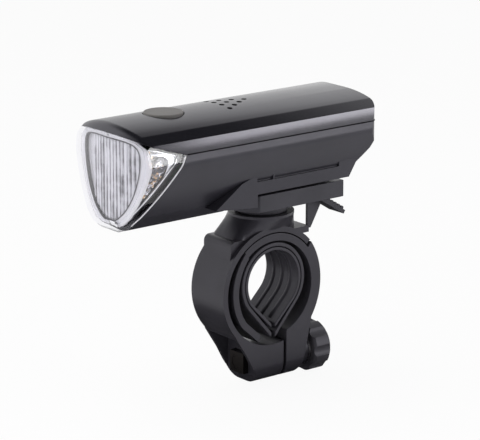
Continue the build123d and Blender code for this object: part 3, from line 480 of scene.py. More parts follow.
# %% [markdown]
# The boards inside are green lacquer over copper tracks. A cell pattern that measures the distance
# to its edges gives thin lines, which pass for tracks and need no picture. The cells wear plain
# shrunk sleeves, which are smooth and a little glossy.

# %% Boards and cells
track_width = 0.06
lacquer = Finish("board_lacquer")
tracks = lacquer.node(
    "TexVoronoi", Vector=lacquer.place(), Scale=420, settings={"feature": "DISTANCE_TO_EDGE"}
)
track_edge = lacquer.node("Math", settings={"operation": "LESS_THAN"}, i0=tracks, i1=track_width)
greens = [(0.0, (0.01, 0.09, 0.035)), (1.0, (0.03, 0.16, 0.06))]
green = lacquer.node("ValToRGB", Fac=track_edge, stops=greens)
lacquer.set(Base_Color=green, Roughness=track_edge * 0.1 + 0.25)
board_lacquer = lacquer.material
cell_sleeve = moulded("cell_sleeve", (0.10, 0.11, 0.13), 0.22, 1.5 * MM, 0.004 * MM, coat=0.4)
print("inside:", board_lacquer.name, "and", cell_sleeve.name)

# %% [markdown]
# Every solid gets one finish. A table says which, by the solid's name, so that a forgotten one
# stops the script at once instead of showing up as a grey part.

# %% Which finish goes where
finish_of = {
    "top_cover": cover_gloss, "button": button_soft, "main_board": board_lacquer,
    "tact_switch": switch_plastic, "board_screws": zinc, "front_lens": lens_clear,
    "lower_shell": shell_satin, "cover_seal": seal_soft, "reflector": mirror_chrome,
    "led_board": board_lacquer, "leds": emitter_clear, "battery_left": cell_sleeve,
    "battery_right": cell_sleeve, "contact_plates": nickel, "contact_springs": nickel,
    "rail_shoe": shell_satin, "shoe_screws": zinc, "slide_plate": bracket_satin,
    "release_tongue": bracket_satin, "fixed_jaw": clamp_satin, "swing_jaw": clamp_satin,
    "clamp_nut": black_zinc, "clamp_screw": black_zinc, "knob_washer": zinc, "clamp_knob": knob_satin,
    "swivel_washer": zinc, "swivel_screw": zinc, "outer_shim": liner_soft, "inner_shim": liner_soft,
}
for name, node in frame["nodes"].items():
    node.data.materials.clear()
    node.data.materials.append(finish_of[name])
print("finishes:", len({m.name for m in finish_of.values()}))

# %% [markdown]
# ## Softening the moulded parts
# A solid from CAD has knife-sharp edges, and real moulded plastic has none. Each visible part is
# copied, its loose triangles are joined into whole faces, and a narrow bevel is rolled along the
# edges that really turn a corner. Weighted normals keep the big faces flat in the reflections.

# %% Softened copies
body_of = {n: b for b, members in frame["record"]["behaviour"]["bodies"].items() for n in members}
corner_angle = math.radians(28)
flat_angle = math.radians(0.4)
weld_distance = 0.001 * MM


def softened(node, radius):
    """A copy of a CAD node with joined faces, smooth curves and rolled edges."""
    mesh = frame["nodes"][node].data.copy()
    mesh.name = node + "_soft"
    shape = bmesh.new()
    shape.from_mesh(mesh)
    bmesh.ops.remove_doubles(shape, verts=shape.verts, dist=weld_distance)
    bmesh.ops.dissolve_limit(shape, angle_limit=flat_angle, verts=shape.verts, edges=shape.edges)
    for face in shape.faces:
        face.smooth = True
    for edge in shape.edges:
        turned = len(edge.link_faces) == 2 and edge.calc_face_angle(0) > corner_angle
        edge.smooth = not turned
    shape.to_mesh(mesh)
    shape.free()
    piece = bpy.data.objects.new(node + "_soft", mesh)
    bpy.context.scene.collection.objects.link(piece)
    if radius > 0:
        bevel = piece.modifiers.new("rolled edges", "BEVEL")
        bevel.width = radius * MM
        bevel.segments = 2
        bevel.limit_method = "ANGLE"
        bevel.angle_limit = corner_angle
        bevel.harden_normals = False
        bevel.use_clamp_overlap = True
        bevel.miter_outer = "MITER_ARC"
    smooth = piece.modifiers.new("flat faces stay flat", "WEIGHTED_NORMAL")
    smooth.keep_sharp = radius == 0
    mesh.materials.clear()
    mesh.materials.append(finish_of[node])
    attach(piece, body_of[node])
    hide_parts(node)
    return piece


edge_radius = {
    "top_cover": 0.25, "lower_shell": 0.25, "rail_shoe": 0.35, "slide_plate": 0.35,
    "release_tongue": 0.2, "fixed_jaw": 0.4, "swing_jaw": 0.4, "clamp_knob": 0.3,
    "outer_shim": 0.25, "inner_shim": 0.25, "front_lens": 0.3, "button": 0.0,
}
for node, radius in edge_radius.items():
    softened(node, radius)
print("softened:", len(edge_radius))

# %% [markdown]
# The reflector is a bright plated bowl that fills the nose from side to side. Its copy is drawn in
# by a tenth of its width. The solid one stands so close behind the lens that it would hide the
# pebbled side panels, which the scene adds further on.

# %% Drawn-in reflector
width_share = 0.9
drawn_in = softened("reflector", 0.15)
for vertex in drawn_in.data.vertices:
    vertex.co.x *= width_share
print("reflector drawn in to", width_share, "of its width")

# %% [markdown]
# ## Finding the lens's own surface
# Everything behind the lens has to follow its wall. A ray is shot at the CAD lens from the front
# or from the side, and where it lands gives the wall's place and the way it faces. Stepping back
# along that direction by the wall's thickness gives a point just behind the clear plastic.

# %% Points behind the clear wall
lens_node = frame["nodes"]["front_lens"]
lens_tree = BVHTree.FromPolygons(
    [v.co for v in lens_node.data.vertices], [tuple(f.vertices) for f in lens_node.data.polygons]
)
lens_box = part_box("front_lens")
nose = lens_box[0][1]
well_outside = 0.05


def behind_front(x, z, depth):
    """A point behind the lens's front face, in metres, from x and z in millimetres."""
    start = Vector((x * MM, nose - well_outside, z * MM))
    place, facing, _, _ = lens_tree.ray_cast(start, Vector((0, 1, 0)))
    return place - facing * depth * MM if place else None


def behind_side(y, z, depth, side):
    """A point behind the lens's side face; side is +1 or -1."""
    start = Vector((side * well_outside, y * MM, z * MM))
    place, facing, _, _ = lens_tree.ray_cast(start, Vector((-side, 0, 0)))
    return place - facing * depth * MM if place else None


print("nose at", round(nose / MM, 1), "mm")

# %% [markdown]
# ## Sheets and rods
# The trim behind the lens is of two kinds: thin sheets and round bars. A sheet is a grid of points
# that gets its thickness from a Solidify modifier. A bar is a ring of points, set again and again
# along a path and closed at both ends. Both are written as plain points and faces, because their
# places come from the rays above.

# %% Sheets and rods
def smooth_line(points, count):
    """Points spaced evenly by number along a smooth curve through the given ones."""
    padded = [points[0]] + list(points) + [points[-1]]
    out = []
    for i in range(count):
        t = i / (count - 1) * (len(points) - 1)
        k = min(int(t), len(points) - 2)
        f = t - k
        p0, p1, p2, p3 = (Vector(q) for q in padded[k : k + 4])
        slope = (p2 - p0) * f
        bend = (2 * p0 - 5 * p1 + 4 * p2 - p3) * f**2
        twist = (3 * p1 - p0 - 3 * p2 + p3) * f**3
        out.append(0.5 * (2 * p1 + slope + bend + twist))
    return out


def grid_faces(rows, width):
    """Four-sided faces between the points of a grid, row by row."""
    return [
        (i * width + j, i * width + j + 1, (i + 1) * width + j + 1, (i + 1) * width + j)
        for i in range(rows - 1)
        for j in range(width - 1)
    ]


def new_piece(name, points, faces, finish, body):
    """A mesh piece that rides on a body."""
    mesh = bpy.data.meshes.new(name)
    mesh.from_pydata([tuple(q) for q in points], [], faces)
    mesh.validate()
    for face in mesh.polygons:
        face.use_smooth = True
    mesh.materials.append(finish)
    piece = bpy.data.objects.new(name, mesh)
    bpy.context.scene.collection.objects.link(piece)
    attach(piece, body)
    return piece


def ribbon(name, rows, finish, thickness):
    """A sheet of the lamp through rows of points, given some thickness."""
    points = [q for row in rows for q in row]
    piece = new_piece(name, points, grid_faces(len(rows), len(rows[0])), finish, "lamp")
    sheet_body = piece.modifiers.new("thickness", "SOLIDIFY")
    sheet_body.thickness = thickness * MM
    sheet_body.offset = 0


def rod(name, path, radius, finish, body="lamp", sides=8):
    """A round bar that follows a path of points."""
    aside = Vector((0.3, 0.2, 1))
    points, faces = [], []
    for i, place in enumerate(path):
        ahead = (path[min(i + 1, len(path) - 1)] - path[max(i - 1, 0)]).normalized()
        across = ahead.cross(aside).normalized()
        other = ahead.cross(across)
        for k in range(sides):
            turn = k * math.tau / sides
            points.append(place + (across * math.cos(turn) + other * math.sin(turn)) * radius * MM)
    for i in range(len(path) - 1):
        for k in range(sides):
            a, b = i * sides + k, i * sides + (k + 1) % sides
            faces.append((a, b, b + sides, a + sides))
    faces.append(tuple(reversed(range(sides))))
    faces.append(tuple(range((len(path) - 1) * sides, len(path) * sides)))
    return new_piece(name, points, faces, finish, body)


# %% [markdown]
# ## Behind the front window
# The window is a fan: wide at the top, rounded to a narrow foot. Its half outline is written down
# once and mirrored, so that both halves are sure to agree.

# %% Outline of the window
fan_half = [
    (0, 59.0), (6, 59.0), (11, 58.6), (14.3, 57.4), (15.6, 55.0), (15.7, 51.5),
    (14.6, 46.0), (12.4, 40.5), (9.2, 35.8), (5.4, 32.4), (2.4, 30.9), (0, 30.6),
]
half_count = 40
half_line = smooth_line([(x, z, 0) for x, z in fan_half], half_count)
fan = [(q[0], q[1]) for q in half_line] + [(-q[0], q[1]) for q in reversed(half_line[1:-1])]
print("window:", len(fan), "points,", round(2 * max(x for x, _ in fan), 1), "mm wide")

# %% [markdown]
# Outside the window runs the thick clear rim, which looks milky because light is caught in its edge. Its
# finish paints that light: it is half see-through and white with a faint painted glow, because a solid
# clear rim would need many bounces of light to look as pale. The low wall behind the window's edge is
# dark, and its dark colour there is painted shade along that edge. The small trim is plated bright.

# %% Finishes of the rim and the wall
rim = Finish(
    "rim_clear", Base_Color=(0.98, 0.97, 1.0), Roughness=0.1, IOR=1.5,
    # A faint painted glow, though the rim is no lamp.
    Emission_Color=(0.95, 0.93, 1.0), Emission_Strength=0.08,
)
rim.set(Alpha=rim.noise(140, detail=2) * 0.3 + 0.55)
rim_clear = rim.material
wall_dark = moulded("wall_dark", (0.035, 0.034, 0.038), 0.3, 0.5 * MM, 0.01 * MM)
bright_trim = metal("bright_trim", (0.95, 0.95, 0.97), 0.1, 900, 0.01 * MM)
print("rim:", rim_clear.name, "wall:", wall_dark.name, "trim:", bright_trim.name)

# %% [markdown]
# The rim is a sheet of five points across, from the window's outline nearly to the lens's edge.
# Where that edge lies is found by stepping outwards until the ray misses the lens. The wall is a
# sheet of two points across: one on the outline, and one straight behind it.

# %% Rim and wall
window_middle = (0, 47.0)
rim_stride = 0.012
most_strides = 60
rim_share = 0.93
rim_columns = 5
rim_depth, rim_thickness = 1.7, 0.3
edge_depth = 1.6
wall_depth, wall_height, wall_thickness = 1.5, 1.3, 0.35


def rim_row(x, z):
    """Points from the window's outline out to the lens's edge."""
    reach = Vector((x - window_middle[0], z - window_middle[1]))
    last = None
    for k in range(most_strides):
        far = Vector(window_middle) + reach * (1 + rim_stride * k)
        if behind_front(far.x, far.y, edge_depth) is None:
            break
        last = far
    row = []
    for k in range(rim_columns):
        part_way = Vector((x, z)).lerp(last, k / (rim_columns - 1) * rim_share)
        row.append(behind_front(part_way.x, part_way.y, rim_depth))
    return row


rim_rows = [rim_row(x, z) for x, z in fan]
rim_rows.append(rim_rows[0])
ribbon("lens_rim", rim_rows, rim_clear, rim_thickness)
wall_rows = []
for x, z in fan:
    on_lens = behind_front(x, z, wall_depth)
    wall_rows.append([on_lens, on_lens + Vector((0, wall_height * MM, 0))])
wall_rows.append(wall_rows[0])
# The wall's dark colour is painted shade along the window's edge.
ribbon("window_wall", wall_rows, wall_dark, wall_thickness)
print("rim and wall:", len(rim_rows), "rows")

# %% [markdown]
# Halfway out, a thin bright bead runs round the rim, where the moulded step of the real rim
# catches the light. A bar along the middle points of the rim's rows follows it by itself. At the
# foot of the rim stands a small clear tab, made as a sheet on its own small grid of points.

# %% Bead and foot tab
bead_radius = 0.2
tab_heights = (27.6, 28.8, 30.0, 31.2)
tab_across = (1.2, 2.6, 4.0, 5.4)
tab_depth, tab_thickness = 0.9, 0.4
rod("rim_bead", [row[rim_columns // 2] for row in rim_rows], bead_radius, bright_trim)
tab_rows = [[behind_front(x, z, tab_depth) for x in tab_across] for z in tab_heights]
tab_rows = [row for row in tab_rows if None not in row]
ribbon("foot_tab", tab_rows, bright_trim, tab_thickness)
print("foot tab:", len(tab_rows), "rows")

# %% [markdown]
# ## A small helper for Geometry Nodes
# What repeats is grown by a node tree. The helper builds a tree with named inputs, runs it once on
# a base mesh, and keeps the result as a plain mesh, because neither the export nor the other views
# can use a live tree.

# %% Growing a mesh with nodes
class Growth:
    """A Geometry Nodes tree with named inputs."""

    def __init__(self, name, **inputs):
        self.tree = bpy.data.node_groups.new(name, "GeometryNodeTree")
        sockets = self.tree.interface
        sockets.new_socket("Geometry", in_out="INPUT", socket_type="NodeSocketGeometry")
        sockets.new_socket("Geometry", in_out="OUTPUT", socket_type="NodeSocketGeometry")
        self.values = inputs
        for key, value in inputs.items():
            kind = "NodeSocketInt" if isinstance(value, int) else "NodeSocketFloat"
            sockets.new_socket(key, in_out="INPUT", socket_type=kind)
        self.start = self.tree.nodes.new("NodeGroupInput")
        self.end = self.tree.nodes.new("NodeGroupOutput")

    def value(self, key):
        return self.start.outputs[key]

    def node(self, kind, settings=None, out=0, **sockets):
        """A node; a socket is given by its name, or by i and its number."""
        node = self.tree.nodes.new(kind)
        for key, value in (settings or {}).items():
            setattr(node, key, value)
        for key, value in sockets.items():
            socket = node.inputs[int(key[1:]) if key[1:].isdigit() else key.replace("_", " ")]
            if isinstance(value, bpy.types.NodeSocket):
                self.tree.links.new(value, socket)
            else:
                socket.default_value = value
        return node.outputs[out]

    def math(self, operation, first, second=0.0):
        return self.node("ShaderNodeMath", {"operation": operation}, i0=first, i1=second)

    def grow(self, name, result, finish, body, base):
        """Run the tree on the base mesh and keep a plain mesh."""
        real = self.node("GeometryNodeRealizeInstances", Geometry=result)
        coated = self.node("GeometryNodeSetMaterial", Geometry=real, Material=finish)
        self.tree.links.new(coated, self.end.inputs[0])
        piece = bpy.data.objects.new(name, base)
        bpy.context.scene.collection.objects.link(piece)
        modifier = piece.modifiers.new("growth", "NODES")
        modifier.node_group = self.tree
        for item in self.tree.interface.items_tree:
            if item.in_out == "INPUT" and item.name in self.values:
                modifier[item.identifier] = self.values[item.name]
        bpy.context.view_layer.update()
        grown = piece.evaluated_get(bpy.context.evaluated_depsgraph_get())
        shape = bpy.data.meshes.new_from_object(grown)
        piece.modifiers.clear()
        piece.data = shape
        shape.name = name
        if not shape.materials:
            shape.materials.append(finish)
        for face in shape.polygons:
            face.use_smooth = True
        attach(piece, body)
        print(name, len(shape.polygons), "faces")
        return piece


# %% [markdown]
# ## The fluted screen
# The screen spreads the beam sideways with upright half-round flutes. Light runs down them in uneven
# streaks, and the colour paints them: a noise stretched along their length gives painted streaks of
# reflection, with painted blotches of reflection among them. The valleys between the flutes get a little
# painted shade, a plain strip at one side is painted paler, and the whole screen has a faint painted
# glow.

# %% Finish of the screen
flute_pitch = 1.75
flute_height = 0.55
first_flute, last_flute = -10.5, 12.25
plain_edge = -10.8
screen_clear = Finish("screen_clear", Roughness=0.12, IOR=1.5)
streak_place = screen_clear.node("Mapping", Vector=screen_clear.place(), Scale=(1, 1, 0.04))
light_streaks = screen_clear.node("TexNoise", Vector=streak_place, Scale=700, Detail=3, Roughness=0.65)
reflection_blotches = screen_clear.noise(260, detail=3)
across_x = screen_clear.node("SeparateXYZ", i0=screen_clear.place()) * (1 / MM)
flute_turn = (across_x - first_flute) * (math.pi / flute_pitch)
valley = screen_clear.node("Math", i0=flute_turn, settings={"operation": "SINE"})
ridge_shade = screen_clear.node("Math", i0=valley, settings={"operation": "ABSOLUTE"}) * 0.24 - 0.14
plain_strip = screen_clear.node("Math", i0=across_x, i1=plain_edge, settings={"operation": "LESS_THAN"})
# Painted light: painted reflection in streaks and blotches, painted shade in the flute valleys and a
# paler painted sheen on the plain strip.
brightness = light_streaks * 0.62 + reflection_blotches * 0.38 + ridge_shade + plain_strip * 0.18
screen_greys = [(0.36, (0.10, 0.095, 0.10)), (0.46, (0.55, 0.54, 0.58)), (0.56, (0.97, 0.96, 1.0))]
screen_clear.set(
    Base_Color=screen_clear.node("ValToRGB", Fac=brightness, stops=screen_greys),
    Alpha=light_streaks * 0.5 + 0.55,
    Metallic=0.2,
    # A faint painted glow, though the screen is no lamp.
    Emission_Color=(0.95, 0.93, 1.0),
    Emission_Strength=0.06,
)
print("flutes:", round((last_flute - first_flute) / flute_pitch), "of", flute_pitch, "mm")

# %% [markdown]
# The screen's shape follows a rule, so a node tree does it: every point of a fine sheet is pushed
# forward by an arch function of its own X, and only where the flutes are. A strip at either side
# stays plain. The sheet is cut to the window's outline and bowed back a little towards the sides.

# %% Sheet for the screen
columns = 240
rows = 24
screen_half = 15.4
screen_depth = 3.2
screen_bow = 0.0078


def fan_heights(x):
    """Lowest and highest point of the window at one x."""
    at = abs(x)
    crossings = []
    for (xa, za, _), (xb, zb, _) in zip(half_line, half_line[1:]):
        if min(xa, xb) <= at <= max(xa, xb) and xa != xb:
            crossings.append(za + (zb - za) * (at - xa) / (xb - xa))
    return min(crossings), max(crossings)


sheet_points = []
for i in range(columns + 1):
    x = -screen_half + 2 * screen_half * i / columns
    y = nose + screen_depth * MM + screen_bow * x * x * MM
    low, high = fan_heights(x)
    for j in range(rows + 1):
        z = low + (high - low) * j / rows
        sheet_points.append((x * MM, y, z * MM))
turned_faces = [(a, d, c, b) for a, b, c, d in grid_faces(columns + 1, rows + 1)]
sheet = bpy.data.meshes.new("screen_sheet")
sheet.from_pydata(sheet_points, [], turned_faces)
print("sheet:", len(turned_faces), "faces")

# %% [markdown]
# The tree for the flutes has their pitch, their height and the first and last place as inputs. A
# sine of the distance from the first flute, made positive, is the row of arches. Solidify then
# gives the sheet its thickness, so that the screen is a closed wall.

# %% Fluted screen
screen_thickness = 0.4
flutes = Growth(
    "flutes",
    Pitch=flute_pitch * MM,
    Height=flute_height * MM,
    First=first_flute * MM,
    Last=last_flute * MM,
)
x_here = flutes.node("ShaderNodeSeparateXYZ", i0=flutes.node("GeometryNodeInputPosition"))
from_first = flutes.math("SUBTRACT", x_here, flutes.value("First"))
phase = flutes.math("DIVIDE", from_first, flutes.value("Pitch"))
arch = flutes.math("ABSOLUTE", flutes.math("SINE", flutes.math("MULTIPLY", phase, math.pi)))
inside = flutes.math(
    "MULTIPLY",
    flutes.math("GREATER_THAN", x_here, flutes.value("First")),
    flutes.math("LESS_THAN", x_here, flutes.value("Last")),
)
push = flutes.math("MULTIPLY", flutes.math("MULTIPLY", arch, inside), flutes.value("Height"))
forward = flutes.node("ShaderNodeCombineXYZ", Y=flutes.math("MULTIPLY", push, -1.0))
fluted = flutes.node("GeometryNodeSetPosition", Geometry=flutes.start.outputs[0], Offset=forward)
screen = flutes.grow("fluted_screen", fluted, screen_clear.material, "lamp", sheet)
screen_body = screen.modifiers.new("thickness", "SOLIDIFY")
screen_body.thickness = screen_thickness * MM
screen_body.offset = 1

# %% [markdown]
# ## The side windows
# The lens wraps round to each side, where the bright reflector shows its pebbled flank, a small
# round bowl and a thin bright frame. The window ends at the lens's slanted rear edge, and further
# up at the edge of the cover, which rises towards the front like a visor. Both edges are straight
# lines, so two small functions give the window's end at any height.

# %% Rear end of a side window
both_sides = ((1, "right"), (-1, "left"))
rear_top_y = lens_box[1][1] / MM
rear_bottom_y = -59.1
cover_line = 54.3
tab_line = 32.3
visor_rise = 5.0
visor_length = 15.3
visor_slope = visor_rise / visor_length
cover_share = 0.3


def rear_edge(z):
    """Y of the lens's slanted rear edge, in millimetres."""
    share = (cover_line - z) / (cover_line - tab_line)
    return rear_top_y + (rear_bottom_y - rear_top_y) * min(share, 1.0)


def window_rear(z, inset):
    """Where the side window ends towards the rear: at the slanted edge or under the cover."""
    under_cover = rear_top_y - (z + cover_share * inset - cover_line) / visor_slope
    return min(rear_edge(z) - inset, under_cover)


def heights_down(top, foot, count):
    """Heights from the top down to the foot, evenly spaced."""
    return [top - (top - foot) * i / count for i in range(count + 1)]


window_top = 57.9
window_foot = 29.5
window_steps = 44
window_heights = heights_down(window_top, window_foot, window_steps)
print("side window:", round(window_top - window_foot, 1), "mm high")

# %% [markdown]
# A dark band parts the bright frame from the lens's rear edge, and the rounded lip of that edge catches
# the light as one thin line. That line is a painted highlight: a thin bar in the faintly glowing rim
# finish, set along the edge. The band is a sheet and the other two are bars, because each follows the
# slanted edge at a fixed distance.

# %% Band, frame and lip
band_insets = (0.5, 1.2, 1.9, 2.6)
band_top = 54.0
band_steps = 30
band_depth, band_thickness = 1.55, 0.25
frame_inset, frame_depth, frame_radius = 2.9, 1.6, 0.36
lip_inset, lip_depth, lip_radius = 0.35, 0.05, 0.24
for side, word in both_sides:
    band_rows, frame_path, lip_path = [], [], []
    for z in heights_down(band_top, window_foot, band_steps):
        edge = rear_edge(z)
        row = [behind_side(edge - inset, z, band_depth, side) for inset in band_insets]
        if None in row:
            continue
        band_rows.append(row)
        lip_path.append(behind_side(edge - lip_inset, z, lip_depth, side) or row[0])
    for z in window_heights:
        place = behind_side(window_rear(z, frame_inset), z, frame_depth, side)
        if place:
            frame_path.append(place)
    ribbon("side_band_" + word, band_rows, wall_dark, band_thickness)
    rod("side_frame_" + word, frame_path, frame_radius, bright_trim)
    # The lip bar is a painted highlight line along the lens's rear edge.
    rod("lip_highlight_" + word, lip_path, lip_radius, rim_clear)
    print(word, "band:", len(band_rows), "rows, frame:", len(frame_path), "points")

# %% [markdown]
# In the upper rear corner of each side window stands a bright flat wedge, and in front of it a
# small round bowl. The wedge is a sheet that narrows downwards: its rear end follows the window's
# end, and its width falls off with a power of the height, which bends its front edge inwards.

# %% Wedge
wedge_top = window_top - 1.4
wedge_foot = 46.5
wedge_inset, wedge_depth, wedge_thickness = 3.1, 1.9, 0.2
wedge_reach = 6.5
wedge_power = 1.3
least_share = 0.03
wedge_steps = 12
wedge_columns = 4


def window_wedge(side, word):
    """The bright wedge in the upper rear corner of one side window."""
    wedge_rows = []
    for z in heights_down(wedge_top, wedge_foot, wedge_steps):
        share = max((z - wedge_foot) / (window_top - wedge_foot), least_share)
        reach = wedge_reach * share**wedge_power
        rear = window_rear(z, wedge_inset)
        steps = [rear - reach * k / wedge_columns for k in range(wedge_columns + 1)]
        row = [behind_side(y, z, wedge_depth, side) for y in steps]
        if None not in row:
            wedge_rows.append(row)
    ribbon("window_wedge_" + word, wedge_rows, bright_trim, wedge_thickness)
    print(word, "wedge:", len(wedge_rows), "rows")


# %% [markdown]
# The bowl has a rolled rim, and looks dark because it reflects the inside of the lamp; that dark
# reflection is painted as its grey colour. It is one profile turned round its middle, ring by ring, as
# on a potter's wheel. The Screw modifier would do the same, but the profile would first have to be moved
# to the object's own axis.

# %% Bowl
# The bowl's grey colour is a painted dark reflection of the lamp's inside.
bowl_dark = moulded("bowl_dark", (0.20, 0.195, 0.21), 0.2, 0.8 * MM, 0.05 * MM)
bowl_y, bowl_z = -56.0, 52.7
bowl_depth, bowl_thickness = 1.75, 0.15
bowl_steps = 28
# each point of the profile: distance from the middle and depth, in millimetres
bowl_profile = [(2.75, 0.0), (2.6, -0.25), (2.4, -0.1), (2.2, 0.35), (1.7, 0.75), (1.0, 1.0), (0.4, 1.1)]


def side_bowl(side, word):
    """The small round bowl in front of one wedge."""
    centre = behind_side(bowl_y, bowl_z, bowl_depth, side)
    inward = Vector((-side, 0, 0))
    rings = []
    for k in range(bowl_steps + 1):
        turn = k * math.tau / bowl_steps
        along = Vector((0, math.cos(turn), math.sin(turn)))
        rings.append([centre + (along * reach + inward * deep) * MM for reach, deep in bowl_profile])
    ribbon("side_bowl_" + word, rings, bowl_dark, bowl_thickness)
    print(word, "bowl:", len(rings), "steps")


for side, word in both_sides:
    window_wedge(side, word)
    side_bowl(side, word)

# %% [markdown]
# ## The pebbled flanks
# The flank of the reflector is pebbled so that it glitters from any side. Each pebble mirrors another
# part of the inside, from near black to white with a warm glint here and there, and these reflections
# are painted: a cell pattern gives each small region one random colour. Its first channel picks the grey
# of the painted reflection and its second picks the few painted warm glints.

# %% Finish of the pebbles
cell_scale = 1100
warm_from = 0.72
pebble_greys = [
    (0.15, (0.10, 0.095, 0.10)), (0.45, (0.42, 0.40, 0.42)),
    (0.7, (0.80, 0.78, 0.82)), (0.9, (0.97, 0.96, 1.0)),
]
chrome_painted_reflections = Finish("chrome_painted_reflections", Metallic=0.85, Roughness=0.16)
# The cell colours are painted reflections: greys from near black to white, and a few painted warm
# glints.
cells = chrome_painted_reflections.node("TexVoronoi", out="Color", Vector=chrome_painted_reflections.place(), Scale=cell_scale)
shade = chrome_painted_reflections.node("SeparateXYZ", out="X", i0=cells)
glint = chrome_painted_reflections.node("SeparateXYZ", out="Y", i0=cells)
is_warm = chrome_painted_reflections.node("Math", i0=glint, i1=warm_from, settings={"operation": "GREATER_THAN"})
pebble_shade = chrome_painted_reflections.node("ValToRGB", Fac=shade, stops=pebble_greys)
warm_tone = (0.80, 0.58, 0.36)
warm = chrome_painted_reflections.node("MixRGB", Fac=is_warm, Color1=pebble_shade, Color2=warm_tone)
chrome_painted_reflections.set(Base_Color=warm)
print("pebbles:", chrome_painted_reflections.material.name, "with", len(pebble_greys), "greys")

# %% [markdown]
# The pebbles stand on a plain panel that follows the lens from behind. Its rear end keeps clear of
# the bright frame, and its front end stops short of the rim, so that no pebble shows through it.
# Rows that would be too short or that miss the lens are left out.

# %% Panels for the pebbles
panel_inset, panel_depth = 3.2, 2.6
panel_front = -60.2
panel_columns = 8
panel_least = 0.8


def pebble_panel(side, word):
    """The plain panel behind one side window."""
    panel_rows = []
    for z in window_heights:
        rear = window_rear(z, panel_inset)
        steps = [rear + (panel_front - rear) * k / panel_columns for k in range(panel_columns + 1)]
        row = [behind_side(y, z, panel_depth, side) for y in steps]
        if rear - panel_front > panel_least and None not in row:
            panel_rows.append(row)
    panel_faces = grid_faces(len(panel_rows), panel_columns + 1)
    if side < 0:
        panel_faces = [tuple(reversed(f)) for f in panel_faces]
    panel = bpy.data.meshes.new("panel_" + word)
    panel.from_pydata([tuple(q) for row in panel_rows for q in row], [], panel_faces)
    return panel


# %% [markdown]
# The pebbles repeat, so a node tree scatters them: points are spread over the panel with a fixed
# seed, and a low dome of a few dozen faces stands on each, turned to the panel's own direction and
# varied in size. Placing hundreds of domes by hand would give no better picture.

# %% Pebbled flanks
dome_flatness = 0.7
most_crowded = 3.0e6
smallest, largest = 0.6, 1.15
for side, word in both_sides:
    pebbles = Growth("pebbles_" + word, Distance=0.75 * MM, Size=0.62 * MM, Seed=7)
    seed = pebbles.value("Seed")
    here = pebbles.start.outputs[0]
    spots = pebbles.node(
        "GeometryNodeDistributePointsOnFaces", {"distribute_method": "POISSON"},
        Mesh=here, Distance_Min=pebbles.value("Distance"), Density_Max=most_crowded, Seed=seed,
    )
    turned = spots.node.outputs["Rotation"]
    dome = pebbles.node("GeometryNodeMeshIcoSphere", Radius=pebbles.value("Size"), Subdivisions=2)
    low_dome = pebbles.node("GeometryNodeTransform", Geometry=dome, Scale=(1, 1, dome_flatness))
    sizes = pebbles.node(
        "FunctionNodeRandomValue", {"data_type": "FLOAT"}, out=1, i2=smallest, i3=largest, Seed=seed
    )
    domes = pebbles.node(
        "GeometryNodeInstanceOnPoints", Points=spots, Instance=low_dome, Rotation=turned, Scale=sizes
    )
    both = pebbles.node("GeometryNodeJoinGeometry")
    pebbles.tree.links.new(here, both.node.inputs[0])
    pebbles.tree.links.new(domes, both.node.inputs[0])
    panel = pebble_panel(side, word)
    pebbles.grow("pebbled_flank_" + word, both, chrome_painted_reflections.material, "lamp", panel)

# %% [markdown]
# ## The parting line
# A fine shadow gap runs between cover and shell, along both sides and across the rear. A real groove
# would have to be cut into two solids. A thin black bar that follows the cover's own wall looks the
# same, because it is half sunk in it: its black is painted shade of the groove. Rays find the wall:
# straight along the side, and in a half circle round the rear.

# %% Parting line
cover_node = frame["nodes"]["top_cover"]
cover_tree = BVHTree.FromPolygons(
    [v.co for v in cover_node.data.vertices], [tuple(f.vertices) for f in cover_node.data.polygons]
)
line_height = 54.5 * MM
line_drop = 0.25 * MM
line_radius = 0.24
line_start = 0.4
turning_y = 20
far_outside = 0.08
side_steps = 20
rear_steps = 60
gap_path = []
for i in range(side_steps + 1):
    y = rear_top_y + line_start + (turning_y - rear_top_y) * i / side_steps
    start = Vector((well_outside, y * MM, line_height))
    gap_path.append(cover_tree.ray_cast(start, Vector((-1, 0, 0)))[0])
hub = Vector((0, turning_y * MM, line_height))
for i in range(1, rear_steps):
    turn = math.pi * i / rear_steps
    out = Vector((math.cos(turn), math.sin(turn), 0))
    place = cover_tree.ray_cast(hub + out * far_outside, -out)[0]
    if place:
        gap_path.append(place)
gap_path += [Vector((-q.x, q.y, q.z)) for q in reversed(gap_path[: side_steps + 1])]
gap_path = [Vector((q.x, q.y, line_height - line_drop)) for q in gap_path]
# The bar's black is painted shade of the groove between cover and shell.
rod("parting_gap", gap_path, line_radius, shadow_black, "lid", 6)
print("parting line:", len(gap_path), "points")

# %% [markdown]
# ## The dimples
# Behind the button lie ten small dimples in four rows, each row one shorter than the last. They are cut
# into the solid cover, but so small a dimple catches too little shadow in a picture. The dimples repeat,
# so a node tree sets one thin dark cup of painted shade on the place of each, leant over to suit the
# crown of the cover.

# %% Dimple cups
cup_pitch = 4.35
cup_rows = 4
behind_button = 23.1
crown_width = 31.0
crown_rise = 2.9
cup_sink = 0.02
cup_radius, cup_thickness = 0.95, 0.1
cup_corners = 20
crown_bend = crown_width**2 / (8 * crown_rise) + crown_rise / 2
button_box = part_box("button")
first_row = (button_box[0][1] + button_box[1][1]) / 2 / MM + behind_button
top_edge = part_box("top_cover")[1][2] / MM
cup_points = []
for row in range(cup_rows):
    y = first_row + row * cup_pitch * math.sqrt(0.75)
    for k in range(cup_rows - row):
        x = (k - (cup_rows - 1 - row) / 2) * cup_pitch
        z = top_edge - crown_bend + math.sqrt(crown_bend**2 - x * x) - cup_sink
        cup_points.append(tuple(Vector((x, y, z)) * MM))
spots_mesh = bpy.data.meshes.new("dimple_places")
spots_mesh.from_pydata(cup_points, [], [])
cups = Growth("cups", Radius=cup_radius * MM, Depth=cup_thickness * MM, Bend=crown_bend * MM)
